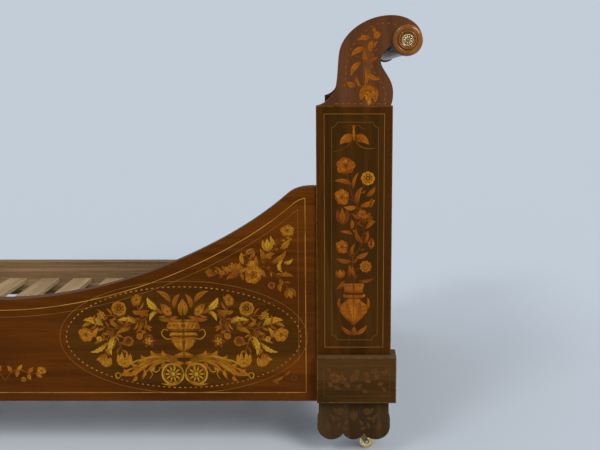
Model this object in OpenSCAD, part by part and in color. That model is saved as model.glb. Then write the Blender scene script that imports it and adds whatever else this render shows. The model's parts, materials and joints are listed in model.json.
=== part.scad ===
// Sleigh bed with scroll-topped plank posts, a deep shaped front rail, a plain back rail,
// turned head and foot rolls, framed ends, hook-plate rail joints, a slatted deck and brass casters.
// Row frame: X runs along the bed, Y from the show side (-Y) to the back (+Y), Z up from the floor.

/* [Overall] */
// Clear length of a side rail between the posts
rail_l = 1760; // [1500:10:2000]
// Width of the bed over the faces of its posts
bed_w = 1280; // [1000:10:1600]

/* [Posts and scrolls] */
// Width of a post along the bed
post_w = 206; // [206:1:216]
// Thickness of a post and of the scroll on it
post_t = 50; // [48:1:54]
// Height of the top of the post, where the scroll starts
post_top = 993; // [940:1:1040]

/* [Plinths and feet] */
// Height of the foot's lobes above the floor
foot_clear = 52; // [50:1:56]
// Height of the foot from its lobes to the plinth
foot_h = 118; // [112:1:130]
// Height of the plinth block
plinth_h = 133; // [110:1:150]
// How far the plinth stands out in front of the post
plinth_front = 25; // [15:1:35]
// How far the plinth stands out beyond the post's outer edge
plinth_side = 15; // [10:1:25]

/* [Side rails] */
// Height of the rails' lower edges above the floor
rail_bottom = 164; // [160:1:170]
// Thickness of a side rail
rail_t = 36; // [32:1:38]
// How far a rail's face lies behind the face of its posts
rail_set = 8; // [6:1:10]
// Height of the plain back rail
back_rail_h = 142; // [130:1:160]
// Height of the shaped front rail where it meets a post
rail_high = 611; // [600:1:640]
// Height of the shaped front rail at the middle of the bed
rail_low = 295; // [260:1:330]

/* [Rolls and caps] */
// Radius of the turned roll at the head and at the foot
roll_r = 35; // [33:0.5:36]
// Radius of the turned cap on each end of a roll
cap_r = 40.5; // [39:0.5:41]
// How far a cap stands out from the scroll
cap_t = 14; // [10:1:18]
// Radius of the brass rosette in a cap
rosette_r = 15; // [13:0.5:16]

/* [Deck] */
// Number of slats
slat_n = 13; // [9:1:16]
// Width of a slat
slat_w = 75; // [60:1:85]
// Thickness of a slat
slat_t = 18; // [15:1:22]

/* [Casters] */
// Radius of a caster wheel
wheel_r = 21; // [19:0.5:22]
// Distance from the swivel stem to the wheel's axle
trail = 24; // [20:0.5:24]

/* [Hidden] */
CORNERS = ["front_right", "front_left", "back_right", "back_left"];
ENDS = ["right", "left"];
CORNER_PARTS = ["post", "scroll", "plinth", "foot", "roll_cap", "rosette",
                "caster_plate", "caster_fork", "caster_axle", "caster_wheel"];
END_PARTS = ["roll", "crest_board", "end_top_rail", "end_panel", "end_bottom_rail"];

$fn = 64;
over = 1;                              // cutters pass this far beyond the faces they open
slip = 0.05;                           // radial clearance of a dowel, tenon or spigot in its hole
turn_slip = 0.06;                      // radial clearance of a part that turns on an axle or a stem
joint_slip = 0.2;                      // clearance all round a mortise
groove_slip = 0.1;                     // clearance of a panel in its groove and of a board under its roll

post_in = rail_l / 2;                  // inner edge of a right-hand post
face_y = -bed_w / 2;                   // face of a front post
back_y = face_y + post_t;              // inner side of a front post
foot_top = foot_clear + foot_h;
plinth_top = foot_top + plinth_h;
roll_at = [242.5, 172];                // roll centre from the post's inner edge and its top
roll_x = post_in + roll_at[0];
roll_z = post_top + roll_at[1];
scroll_eye_r = 41;                     // radius of the scroll's rounded end about the roll
tenon_r = 12;                          // round tenon of a roll, and the bore that takes it
tenon_l = 30;
cap_tenon_l = 19;                      // the spigot of a cap meets the roll's tenon in the same bore

end_x = 105;                           // middle plane of the framed end, from the post's inner edge
end_rail_t = 28;                       // thickness of the end's top rail
end_rail_h = 88;
bottom_rail_t = 40;                    // thickness of the end's bottom rail
bottom_rail_z = [176, 300];
panel_t = 14;
groove = 9;                            // how deep the panel sits in the rails
top_tenon = [12, 25, 60];              // thickness, length and height
bottom_tenon = [16, 25, 80];
crest_t = 24;

dowel_r = 6;
dowel_l = 60;
dowel_xs = [75, 160];                  // dowels between post and scroll, from the post's inner edge

cleat = 30;                            // square section of a cleat
cleat_z = 188;
cleat_l = rail_l - 60;
cleat_screw_n = 8;
cleat_screw_r = 2.2;
cleat_screw_bite = 16;                 // how far a screw goes into the rail
cleat_screw_end = 60;                  // from a cleat's end to its first screw
cleat_head = [4.4, 2];                 // radius and height of a screw's head
slat_gap = 4;                          // from a slat's end to the rail
slat_end = 5;                          // from the first slat to the cleat's end
rail_in_y = face_y + rail_set + rail_t;
rail_mid_y = rail_in_y - rail_t / 2;
deck_z = cleat_z + cleat + slat_t;

plate = [4, 22, 110];                  // one hook plate or receiver plate
slot = [8, 26];                        // a slot in a receiver plate, width and height
slot_zs = [-30, 30];                   // slot centres from the plate's centre
hook = [6.5, 18];                      // a hook's width and height
hook_out = 7;                          // how far a hook reaches beyond the receiver plate
hook_drop = 5;                         // how far its lip hangs below the slot
hook_play = 0.3;                       // gap between the lip and the receiver plate
hook_room = [16, 6];                   // depth of the space for the hooks, and the wood left over it
hook_z_front = [235, 655];             // heights of the plates on the front rail
hook_z_back = [235];

bracket_t = 18;                        // thickness of the foot's lobed brackets
stem_x = 118;                          // caster stem, from the post's inner edge
stem_y = face_y + bracket_t + 48;
block_z = 66;                          // underside of the corner block that carries the caster
block_half = 50;
stem_r = 5;
stem_up = 14;                          // how far the stem goes up into the block
stem_hole = [0.5, 22];                 // room round the stem in the block, and the depth of its hole
plate_screw = [1.6, 3.2, 14];          // shaft radius, head radius and bite of a plate's screw
plate_r = 27;
plate_h = 4;
fork_top = block_z - plate_h - 0.4;    // the fork's crown turns just under the plate
crown_h = 7;
crown_r = 16;
cheek_in = 9;                          // inner face of a fork cheek from the wheel's middle plane
cheek_t = 3;
axle_r = 3;
screw_ring = 21;
screw_head = 1.4;                      // height of a caster screw's head
caster_turn = [0, 90, -90, 35];        // how each swivel stands at rest, in the order of CORNERS

// Points of a cubic Bezier curve from p[0] up to, but without, p[3]
function bez(p, n) = [for (i = [0:n - 1]) let (t = i / n)
    pow(1 - t, 3) * p[0] + 3 * pow(1 - t, 2) * t * p[1] + 3 * (1 - t) * t * t * p[2] + pow(t, 3) * p[3]];

// Points of an arc about c, from angle a to angle b in degrees
function arc(c, r, a, b, n) = [for (i = [0:n]) let (t = a + (b - a) * i / n) c + r * [cos(t), sin(t)]];

// Outline of the scroll from the post's inner top corner: flared back, domed crest, round eye, throat
scroll_outline = concat(
    bez([[0, 0], [25, 4], [47, 26], [54, 55]], 10),
    bez([[54, 55], [59, 85], [58, 112], [62, 138]], 8),
    bez([[62, 138], [68, 188], [130, 236.5], [200, 236.5]], 22),
    bez([[200, 236.5], [245, 236.5], [281, 212], [283.5, 172]], 16),
    arc(roll_at, scroll_eye_r, 0, -165, 24),
    bez([[202.9, 161.4], [188, 150], [172.8, 136], [172.8, 118]], 10),
    bez([[172.8, 118], [172.8, 95], [206, 75], [206, 35]], 14),
    bez([[206, 35], [206, 20], [204, 8], [200, 0]], 6),
    [[200, 0]]);

// Half of the front rail's top edge: from the post, a rolled shoulder, a long sweep, then level at mid bed
rail_sweep = concat(
    bez([[0, rail_high], [40, rail_high + 2], [62, rail_high - 6], [82, rail_high - 23]], 12),
    bez([[82, rail_high - 23], [172, rail_high - 102],
         [288, rail_high - 166], [408, rail_high - 216]], 24),
    bez([[408, rail_high - 216], [558, rail_high - 279],
         [rail_l / 2 - 150, rail_low], [rail_l / 2, rail_low]], 20),
    [[rail_l / 2, rail_low]]);

// Middle line of the curved crest board, in the scroll's coordinates
crest_line = concat(
    [[end_x, -8]],
    bez([[end_x, 0], [end_x, 50], [end_x + 5, 85], [end_x + 13, 118]], 12),
    bez([[end_x + 13, 118], [end_x + 24, 162], [end_x + 62, 192], [end_x + 117, 198]], 18),
    [[end_x + 117, 198]]);

function unit(v) = v / norm(v);
function left_of(v) = [-v[1], v[0]];

// The line moved sideways by d, square to its own direction at each point
function moved(line, d) = [for (i = [0:len(line) - 1])
    line[i] + d * left_of(unit(line[min(i + 1, len(line) - 1)] - line[max(i - 1, 0)]))];

function flipped(line) = [for (i = [len(line) - 1:-1:0]) line[i]];

// Draws a front right corner part at corner c, and mirrors it to the other three
module corner(c) {
    mirror([c == 1 || c == 3 ? 1 : 0, 0, 0])
        mirror([0, c >= 2 ? 1 : 0, 0])
            children();
}

module end_side(e) {
    mirror([e, 0, 0]) children();
}

// An outline in X and Z, extruded from y0 towards +Y
module upright(y0, t) {
    translate([0, y0 + t, 0]) rotate([90, 0, 0]) linear_extrude(t) children();
}

// A block from its low corner to its high corner
module box(low, high) {
    translate(low) cube(high - low);
}

module y_cylinder(x, y0, z, r, l) {
    translate([x, y0, z]) rotate([-90, 0, 0]) cylinder(r = r, h = l);
}

// A tenon or its mortise in a front post, at middle height z
module end_tenon(size, z, grow = 0) {
    box([post_in + end_x - size[0] / 2 - grow, back_y - size[1] - grow, z - size[2] / 2 - grow],
        [post_in + end_x + size[0] / 2 + grow, back_y + (grow > 0 ? over : 0), z + size[2] / 2 + grow]);
}

top_tenon_z = post_top - end_rail_h / 2;
bottom_tenon_z = (bottom_rail_z[0] + bottom_rail_z[1]) / 2;

// Hook plate heights of a corner: two on the deep front rail, one on the back rail
function hook_zs(c) = c < 2 ? hook_z_front : hook_z_back;

module post(c) {
    color("saddlebrown") difference() {
        box([post_in, face_y, foot_top], [post_in + post_w, back_y, post_top]);
        end_tenon(top_tenon, top_tenon_z, joint_slip);
        end_tenon(bottom_tenon, bottom_tenon_z, joint_slip);
        for (z = hook_zs(c)) {
            box([post_in - over, rail_mid_y - plate[1] / 2, z - plate[2] / 2],
                [post_in + plate[0], rail_mid_y + plate[1] / 2, z + plate[2] / 2]);
            box([post_in - over, rail_mid_y - slot[0] / 2, z - plate[2] / 2 + hook_room[1]],
                [post_in + hook_room[0], rail_mid_y + slot[0] / 2, z + plate[2] / 2 - hook_room[1]]);
        }
        for (x = dowel_xs)
            translate([post_in + x, face_y + post_t / 2, post_top - dowel_l / 2])
                cylinder(r = dowel_r + slip, h = dowel_l);
    }
}

module scroll() {
    color("sienna") difference() {
        translate([post_in, 0, post_top]) upright(face_y, post_t) polygon(scroll_outline);
        y_cylinder(roll_x, face_y - over, roll_z, tenon_r, post_t + 2 * over);
        for (x = dowel_xs)
            translate([post_in + x, face_y + post_t / 2, post_top - dowel_l / 2])
                cylinder(r = dowel_r + slip, h = dowel_l);
    }
}

// The plinth wraps the foot of the post on its face and its outer edge
module plinth() {
    color("saddlebrown") union() {
        box([post_in, face_y - plinth_front, foot_top],
            [post_in + post_w + plinth_side, face_y, plinth_top]);
        box([post_in + post_w, face_y - over, foot_top],
            [post_in + post_w + plinth_side, back_y, plinth_top]);
    }
}

// Three lobes across the front of a foot, waisted under the plinth
module front_lobes() {
    lobe = 40;
    middle = 33.6;
    waist = 4;
    intersection() {
        union() {
            translate([waist, foot_clear + lobe]) square([post_w - 2 * waist, foot_h - lobe]);
            for (x = [lobe, post_w - lobe]) {
                translate([x, foot_clear + lobe]) circle(lobe);
                translate([x, foot_clear + lobe + 18]) circle(lobe);
                translate([x - lobe, foot_clear + lobe]) square([2 * lobe, 18]);
            }
            translate([post_w / 2, foot_clear + middle]) circle(middle);
        }
        square([post_w, foot_top]);
    }
}

// Two lobes along the outer side of a foot, from the front bracket to the block's inner end
module side_lobes() {
    side_l = stem_y + block_half - face_y - bracket_t;
    lobe = side_l / 4 + 4;
    union() {
        translate([0, foot_clear + lobe]) square([side_l, foot_h - lobe]);
        intersection() {
            for (x = [lobe, side_l - lobe]) translate([x, foot_clear + lobe]) circle(lobe);
            square([side_l, foot_top]);
        }
    }
}

module foot() {
    color("saddlebrown") difference() {
        union() {
            translate([post_in, 0, 0]) upright(face_y, bracket_t) front_lobes();
            translate([post_in + post_w - 4 - bracket_t, face_y + bracket_t, 0])
                rotate([90, 0, 90]) linear_extrude(bracket_t) side_lobes();
            box([post_in + stem_x - block_half, face_y + bracket_t - over, block_z],
                [post_in + post_w - 4, stem_y + block_half, foot_top]);
        }
        translate([post_in + stem_x, stem_y, block_z - over])
            cylinder(r = stem_r + stem_hole[0], h = stem_hole[1]);
        caster_screw_shafts();
    }
}

// A roll: the turned rail with a round tenon on each end
module roll() {
    color("saddlebrown") union() {
        y_cylinder(roll_x, back_y, roll_z, roll_r, -2 * back_y);
        y_cylinder(roll_x, back_y - tenon_l, roll_z, tenon_r - slip, 2 * (tenon_l - back_y));
    }
}

// Half section of a cap about its axis: torus rim, cove, raised ring and a flat seat for the rosette
module cap_section() {
    polygon(concat(
        [[0, 0], [cap_r - 2, 0]],
        arc([cap_r - 3.5, 4], 3.5, -60, 90, 10),
        arc([cap_r - 9, 8.5], 4.5, -30, -150, 8),
        [[cap_r - 14, 10], [25, cap_t - 2]],
        arc([22.5, cap_t - 2.5], 2.5, 20, 160, 8),
        [[rosette_r + 2.5, cap_t - 4], [rosette_r, cap_t - 5], [0, cap_t - 5]]));
}

module roll_cap() {
    color("peru") union() {
        translate([roll_x, face_y, roll_z]) rotate([90, 0, 0]) rotate_extrude() cap_section();
        y_cylinder(roll_x, face_y - over, roll_z, tenon_r - slip, cap_tenon_l + over);
    }
}

// A rosette: a dished brass disc with a ring of eight bosses about a central pin
module rosette() {
    seat = cap_t - 5;
    color("goldenrod") translate([roll_x, face_y - seat, roll_z]) rotate([90, 0, 0]) union() {
        rotate_extrude() polygon([[0, 0], [rosette_r, 0], [rosette_r, 1.5], [rosette_r - 1.5, 3],
                                  [rosette_r - 3, 1.8], [0, 1.8]]);
        for (a = [0:45:315]) rotate(a) translate([8, 0, 1.5]) cylinder(r1 = 2.8, r2 = 1.6, h = 2);
        translate([0, 0, 1.5]) cylinder(r1 = 3.4, r2 = 2, h = 2.4);
    }
}

module crest_board() {
    outline = concat(moved(crest_line, crest_t / 2), flipped(moved(crest_line, -crest_t / 2)));
    color("sienna") difference() {
        translate([post_in, 0, post_top]) upright(back_y, -2 * back_y) polygon(outline);
        y_cylinder(roll_x, back_y - over, roll_z, roll_r + groove_slip, 2 * (over - back_y));
        box([post_in + end_x - crest_t, back_y - over, post_top - 20],
            [post_in + end_x + crest_t, over - back_y, post_top]);
    }
}

module end_top_rail() {
    color("saddlebrown") difference() {
        union() {
            box([post_in + end_x - end_rail_t / 2, back_y, post_top - end_rail_h],
                [post_in + end_x + end_rail_t / 2, -back_y, post_top]);
            for (side = [0, 1]) mirror([0, side, 0]) end_tenon(top_tenon, top_tenon_z);
        }
        panel_space(groove_slip);
    }
}

module end_bottom_rail() {
    color("saddlebrown") difference() {
        union() {
            box([post_in + end_x - bottom_rail_t / 2, back_y, bottom_rail_z[0]],
                [post_in + end_x + bottom_rail_t / 2, -back_y, bottom_rail_z[1]]);
            for (side = [0, 1]) mirror([0, side, 0]) end_tenon(bottom_tenon, bottom_tenon_z);
        }
        panel_space(groove_slip);
    }
}

// The end panel, or with grow its groove in the rails
module panel_space(grow = 0) {
    past = grow > 0 ? over : 0;
    box([post_in + end_x - panel_t / 2 - grow, back_y - past, bottom_rail_z[1] - groove - grow],
        [post_in + end_x + panel_t / 2 + grow, past - back_y, post_top - end_rail_h + groove + grow]);
}

module end_panel() {
    color("sienna") panel_space();
}

// Space taken out of a rail's end by its hook plates
module rail_mortises(zs) {
    for (side = [0, 1], z = zs) mirror([side, 0, 0])
        box([post_in - plate[0], rail_mid_y - plate[1] / 2, z - plate[2] / 2],
            [post_in + over, rail_mid_y + plate[1] / 2, z + plate[2] / 2]);
}

module side_rail_front() {
    half = [for (p = rail_sweep) [post_in - p[0], p[1]]];
    other = [for (p = flipped(rail_sweep)) [p[0] - post_in, p[1]]];
    outline = concat(half, other, [[-post_in, 0], [post_in, 0]]);
    color("chocolate") difference() {
        translate([0, 0, rail_bottom]) upright(rail_in_y - rail_t, rail_t) polygon(outline);
        rail_mortises(hook_z_front);
        cleat_screw_set();
    }
}

module side_rail_back() {
    color("burlywood") mirror([0, 1, 0]) difference() {
        box([-post_in, rail_in_y - rail_t, rail_bottom],
            [post_in, rail_in_y, rail_bottom + back_rail_h]);
        rail_mortises(hook_z_back);
        cleat_screw_set();
    }
}

module cleat_bar() {
    color("burlywood") difference() {
        box([-cleat_l / 2, rail_in_y, cleat_z], [cleat_l / 2, rail_in_y + cleat, cleat_z + cleat]);
        cleat_screw_set();
    }
}

// The screws of one cleat, and the holes that they fill
module cleat_screw_set(head = false) {
    reach = cleat_l - 2 * cleat_screw_end;
    shaft = cleat_screw_bite + cleat + (head ? 0 : over);
    mid_z = cleat_z + cleat / 2;
    for (i = [0:cleat_screw_n - 1]) {
        x = i * reach / (cleat_screw_n - 1) - reach / 2;
        y_cylinder(x, rail_in_y - cleat_screw_bite, mid_z, cleat_screw_r, shaft);
        if (head) y_cylinder(x, rail_in_y + cleat, mid_z, cleat_head[0], cleat_head[1]);
    }
}

module cleat_screws() {
    color("gray") for (side = [0, 1]) mirror([0, side, 0]) cleat_screw_set(head = true);
}

module slats() {
    reach = cleat_l - 2 * slat_end - slat_w;
    color("wheat") for (i = [0:slat_n - 1]) {
        x = i * reach / (slat_n - 1) - reach / 2;
        box([x - slat_w / 2, rail_in_y + slat_gap, cleat_z + cleat],
            [x + slat_w / 2, -rail_in_y - slat_gap, deck_z]);
    }
}

// One hook plate at height z on the front right joint: its two hooks drop behind the receiver
module hook_plate(z) {
    translate([post_in, rail_mid_y, z]) union() {
        box([-plate[0], -plate[1] / 2, -plate[2] / 2], [0, plate[1] / 2, plate[2] / 2]);
        for (s = slot_zs) translate([0, 0, s]) {
            box([-over, -hook[0] / 2, -slot[1] / 2],
                [plate[0] + hook_out, hook[0] / 2, hook[1] - slot[1] / 2]);
            box([plate[0] + hook_play, -hook[0] / 2, -slot[1] / 2 - hook_drop],
                [plate[0] + hook_out, hook[0] / 2, 0]);
        }
    }
}

module receiver_plate(z) {
    translate([post_in, rail_mid_y, z]) difference() {
        box([0, -plate[1] / 2, -plate[2] / 2], [plate[0], plate[1] / 2, plate[2] / 2]);
        for (s = slot_zs)
            box([-over, -slot[0] / 2, s - slot[1] / 2], [plate[0] + over, slot[0] / 2, s + slot[1] / 2]);
    }
}

module hook_plates() {
    color("dimgray") for (c = [0:3], z = hook_zs(c)) corner(c) hook_plate(z);
}

module receiver_plates() {
    color("dimgray") for (c = [0:3], z = hook_zs(c)) corner(c) receiver_plate(z);
}

module scroll_dowels() {
    color("burlywood") for (c = [0:3], x = dowel_xs) corner(c)
        translate([post_in + x, face_y + post_t / 2, post_top - dowel_l / 2])
            cylinder(r = dowel_r, h = dowel_l);
}

module caster_plate() {
    color("goldenrod") difference() {
        translate([post_in + stem_x, stem_y, block_z - plate_h]) cylinder(r = plate_r, h = plate_h);
        translate([post_in + stem_x, stem_y, block_z - plate_h - over])
            cylinder(r = stem_r + turn_slip, h = plate_h + 2 * over);
        caster_screw_shafts();
    }
}

// Puts a child at each of the three screws of a caster plate, at the underside of its head
module at_plate_screws() {
    for (a = [60:120:300])
        translate([post_in + stem_x, stem_y, block_z - plate_h - screw_head]) rotate(a)
            translate([screw_ring, 0, 0]) children();
}

// Shafts of a caster plate's screws, from their heads up into the foot
module caster_screw_shafts() {
    at_plate_screws() cylinder(r = plate_screw[0], h = screw_head + plate_h + plate_screw[2]);
}

module caster_screws() {
    color("goldenrod") for (c = [0:3]) corner(c) union() {
        caster_screw_shafts();
        at_plate_screws() cylinder(r = plate_screw[1], h = screw_head);
    }
}

// Places a swivelling part, drawn with the stem at the origin and the wheel towards +X
module swivel(c) {
    corner(c) translate([post_in + stem_x, stem_y, 0]) rotate(caster_turn[c]) children();
}

// Outline of a fork cheek: from the crown down to the round eye that holds the axle
module cheek() {
    eye = 7;
    difference() {
        union() {
            polygon([[-10, fork_top - crown_h + 1], [10, fork_top - crown_h + 1],
                     [trail + 6.8, wheel_r + 2], [trail, wheel_r - 4], [trail - 6, wheel_r - 3]]);
            translate([trail, wheel_r]) circle(eye);
        }
        translate([trail, wheel_r]) circle(axle_r + slip);
    }
}

module caster_fork() {
    color("goldenrod") union() {
        translate([0, 0, fork_top - crown_h]) cylinder(r = crown_r, h = crown_h);
        translate([0, 0, fork_top - over]) cylinder(r = stem_r, h = plate_h + stem_up + over);
        for (side = [0, 1]) mirror([0, side, 0]) upright(cheek_in, cheek_t) cheek();
    }
}

module caster_axle() {
    grip = cheek_in + cheek_t;
    head_r = 4.6;
    head_t = 1.5;
    color("silver") union() {
        y_cylinder(trail, -grip, wheel_r, axle_r, 2 * grip);
        for (side = [0, 1]) mirror([0, side, 0]) y_cylinder(trail, grip, wheel_r, head_r, head_t);
    }
}

module caster_wheel() {
    hub = 8.4;
    rim = 7.5;
    web = 3;
    bore = axle_r + turn_slip;
    color("gold") translate([trail, 0, wheel_r]) rotate([90, 0, 0]) rotate_extrude()
        polygon([[bore, -hub], [7, -hub], [8, -web], [wheel_r - 6, -web], [wheel_r - 5, -rim],
                 [wheel_r - 1.5, -rim], [wheel_r, -rim + 2], [wheel_r, rim - 2], [wheel_r - 1.5, rim],
                 [wheel_r - 5, rim], [wheel_r - 6, web], [8, web], [7, hub], [bore, hub]]);
}

for (c = [0:3]) {
    name = CORNERS[c];
    corner(c) post(c);
    corner(c) scroll();
    corner(c) plinth();
    corner(c) foot();
    corner(c) roll_cap();
    corner(c) rosette();
    corner(c) caster_plate();
    swivel(c) caster_fork();
    swivel(c) caster_axle();
    swivel(c) caster_wheel();
}
for (e = [0:1]) {
    name = ENDS[e];
    end_side(e) roll();
    end_side(e) crest_board();
    end_side(e) end_top_rail();
    end_side(e) end_panel();
    end_side(e) end_bottom_rail();
}
side_rail_front();
side_rail_back();
cleat_bar();  // cleat_front
mirror([0, 1, 0]) cleat_bar();  // cleat_back
slats();
hook_plates();
receiver_plates();
scroll_dowels();
cleat_screws();
caster_screws();
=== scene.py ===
# Sleigh bed in polished walnut with floral marquetry, turned head and foot rolls and brass casters.
# Lengths in the dictionaries are millimetres unless a note says otherwise; the scene itself is in metres.
import json
import math
import bpy
import numpy as np
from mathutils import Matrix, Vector


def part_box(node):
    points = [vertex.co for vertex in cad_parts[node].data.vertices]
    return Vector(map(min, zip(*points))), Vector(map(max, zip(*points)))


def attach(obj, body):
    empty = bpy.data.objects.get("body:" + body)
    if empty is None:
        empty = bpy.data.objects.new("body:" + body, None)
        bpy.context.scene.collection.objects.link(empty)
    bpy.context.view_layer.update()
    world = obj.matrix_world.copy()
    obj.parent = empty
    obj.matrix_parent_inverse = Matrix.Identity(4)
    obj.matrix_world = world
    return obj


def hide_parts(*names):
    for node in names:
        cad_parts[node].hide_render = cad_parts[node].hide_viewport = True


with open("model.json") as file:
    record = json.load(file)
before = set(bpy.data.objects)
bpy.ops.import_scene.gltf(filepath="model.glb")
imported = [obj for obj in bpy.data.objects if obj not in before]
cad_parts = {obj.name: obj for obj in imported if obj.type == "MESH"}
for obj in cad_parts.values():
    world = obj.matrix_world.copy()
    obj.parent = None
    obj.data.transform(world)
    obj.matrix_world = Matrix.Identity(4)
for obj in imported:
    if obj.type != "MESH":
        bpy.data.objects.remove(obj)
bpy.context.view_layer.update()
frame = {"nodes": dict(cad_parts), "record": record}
mm = 0.001
corners = {"front_right": (1, 1), "front_left": (-1, 1), "back_right": (1, -1), "back_left": (-1, -1)}
ends = {"right": 1, "left": -1}

postLow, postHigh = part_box("post_front_right")
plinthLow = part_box("plinth_front_right")[0]
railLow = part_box("side_rail_front")[0]
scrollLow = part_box("scroll_front_right")[0]
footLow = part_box("foot_front_right")[0]
panelLow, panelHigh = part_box("end_panel_right")
print("frame loaded:", len(frame["nodes"]), "parts")


# Small helpers for meshes.

def makePiece(name, shell, origin, axes, material, body="root", smoothAngle=0.6, cut=None):
    # carries a shell from its own millimetres to its place on the axes, as an object that rides on a CAD body
    points, faces = shell
    points = np.asarray(origin, float) + (np.asarray(points, float) * mm) @ np.array(axes, float)
    if np.dot(np.cross(axes[0], axes[1]), axes[2]) < 0:
        # a mirrored set of axes turns faces inside out, so they are reversed
        faces = [face[::-1] for face in faces]
    mesh = bpy.data.meshes.new(name)
    mesh.from_pydata(points, [], faces)
    mesh.polygons.foreach_set("use_smooth", np.ones(len(mesh.polygons), dtype=bool))
    mesh.set_sharp_from_angle(angle=smoothAngle)
    if cut is not None:
        layer = mesh.attributes.new("cut", "FLOAT_VECTOR", "POINT")
        layer.data.foreach_set("vector", np.asarray(cut, dtype=np.float32).ravel())
    mesh.update()
    piece = bpy.data.objects.new(name, mesh)
    bpy.context.scene.collection.objects.link(piece)
    piece.data.materials.append(material)
    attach(piece, body)
    return piece


def bezier(a, b, c, d, count):
    # cubic curve: (1-t)^3 a + 3(1-t)^2 t b + 3(1-t)t^2 c + t^3 d, with t from 0 to 1
    t = np.linspace(0, 1, count)[:, None]
    a, b, c, d = (np.asarray(p, float) for p in (a, b, c, d))
    return (1 - t) ** 3 * a + 3 * (1 - t) ** 2 * t * b + 3 * (1 - t) * t * t * c + t ** 3 * d


def throughPoints(points, step=6):
    # Catmull-Rom curve through given points: it leaves a point along the chord of its neighbours
    p = np.asarray(points, float)
    p = np.vstack([2 * p[0] - p[1], p, 2 * p[-1] - p[-2]])
    t = np.linspace(0, 1, step, endpoint=False)[None, :, None]
    p0, p1, p2, p3 = (p[k:len(p) - 3 + k][:, None] for k in range(4))
    curve = 0.5 * (2 * p1 + (p2 - p0) * t + (2 * p0 - 5 * p1 + 4 * p2 - p3) * t ** 2
                   + (3 * p1 - p0 - 3 * p2 + p3) * t ** 3)
    return np.vstack([curve.reshape(-1, 2), p[-2]])


def wayOf(line):
    # the direction at each point of an open line, of length 1
    run = np.gradient(line, axis=0)
    return run / np.linalg.norm(run, axis=1)[:, None]


def leftOf(run):
    # directions turned a quarter to their left
    return np.stack([-run[:, 1], run[:, 0]], axis=1)


def reachOf(line):
    # how far along the line each of its points lies
    return np.concatenate([[0], np.cumsum(np.linalg.norm(np.diff(line, axis=0), axis=1))])


def valueAt(values, reach, distance):
    return np.array([np.interp(distance, reach, values[:, k]) for k in range(2)])


def turned(profile, count, hollow=False):
    # lathe: each profile point (radius r, height t) runs round the axis as (r cos a, r sin a, t);
    # a hollow one closes from its last row to its first, a full one has a face at either end
    profile = np.asarray(profile, float)
    a = np.linspace(0, 2 * np.pi, count, endpoint=False)
    r, t = profile[:, 0][:, None], profile[:, 1][:, None]
    grid = np.stack([r * np.cos(a), r * np.sin(a), t + 0 * a], axis=2)
    rows = len(profile)
    last = (rows - 1) * count
    k, j = np.meshgrid(np.arange(rows - 1), np.arange(count), indexing="ij")
    nextJ = (j + 1) % count
    quads = np.stack([k * count + j, k * count + nextJ, (k + 1) * count + nextJ, (k + 1) * count + j], axis=2)
    faces = quads.reshape(-1, 4).tolist()
    if hollow:
        faces += [[n, (n + 1) % count, last + (n + 1) % count, last + n] for n in range(count)]
    else:
        faces += [list(range(count))[::-1], list(range(last, last + count))]
    return grid.reshape(-1, 3), faces


def joined(parts):
    # several (points, faces) shells in one
    points, faces, start = [], [], 0
    for p, f in parts:
        points.append(p)
        faces += [[n + start for n in face] for face in f]
        start += len(p)
    return np.vstack(points), faces


# Small helpers for materials.

def addNode(tree, kind, sockets=None, **settings):
    made = tree.nodes.new("ShaderNode" + kind)
    for key, value in settings.items():
        setattr(made, key, value)
    for key, value in (sockets or {}).items():
        if isinstance(value, bpy.types.NodeSocket):
            tree.links.new(value, made.inputs[key])
        else:
            made.inputs[key].default_value = value
    return made


def calc(tree, operation, a, b=0.0, c=0.0, clamp=False):
    return addNode(tree, "Math", {0: a, 1: b, 2: c}, operation=operation, use_clamp=clamp).outputs[0]


def times(tree, a, b):
    return calc(tree, "MULTIPLY", a, b)


def inverse(tree, a, clamp=False):
    # what is left of 1
    return calc(tree, "SUBTRACT", 1.0, a, clamp=clamp)


def calcVector(tree, operation, a, b=(0.0, 0.0, 0.0)):
    return addNode(tree, "VectorMath", {0: a, 1: b}, operation=operation).outputs[0]


def dimmed(tree, colour, factor):
    return addNode(tree, "VectorMath", {0: colour, "Scale": factor}, operation="SCALE").outputs[0]


def fade(tree, value, low, high):
    # 0 below low, 1 above high, smooth between
    node = addNode(tree, "MapRange", {"Value": value, "From Min": low, "From Max": high},
                   interpolation_type="SMOOTHSTEP")
    return node.outputs["Result"]


def blendColour(tree, factor, first, second):
    return addNode(tree, "Mix", {0: factor, 6: first, 7: second}, data_type="RGBA").outputs[2]


def scaledNoise(tree, place, scale, detail=2.0, rough=0.5, warp=0.0):
    # noise on a place stretched by a vector scale
    stretched = calcVector(tree, "MULTIPLY", place, scale)
    node = addNode(tree, "TexNoise", {"Vector": stretched, "Scale": 1.0, "Detail": detail,
                                      "Roughness": rough, "Distortion": warp})
    return node.outputs[0]


def solidColour(rgb):
    return (rgb[0], rgb[1], rgb[2], 1.0)


def newGroup(name, inputs, outputs):
    group = bpy.data.node_groups.new(name, "ShaderNodeTree")
    for label, kind in inputs.items():
        group.interface.new_socket(label, in_out="INPUT", socket_type="NodeSocket" + kind)
    for label, kind in outputs.items():
        group.interface.new_socket(label, in_out="OUTPUT", socket_type="NodeSocket" + kind)
    return group, group.nodes.new("NodeGroupInput"), group.nodes.new("NodeGroupOutput")


def useGroup(tree, group, sockets):
    return addNode(tree, "Group", sockets, node_tree=group).outputs


def newMaterial(name):
    # a material's tree, its shader and the place on the piece
    material = bpy.data.materials.new(name)
    material.use_nodes = True
    tree = material.node_tree
    return material, tree, tree.nodes["Principled BSDF"], addNode(tree, "TexCoord").outputs["Object"]


def cutAttribute(tree):
    return addNode(tree, "Attribute", attribute_type="GEOMETRY", attribute_name="cut").outputs["Vector"]


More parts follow.
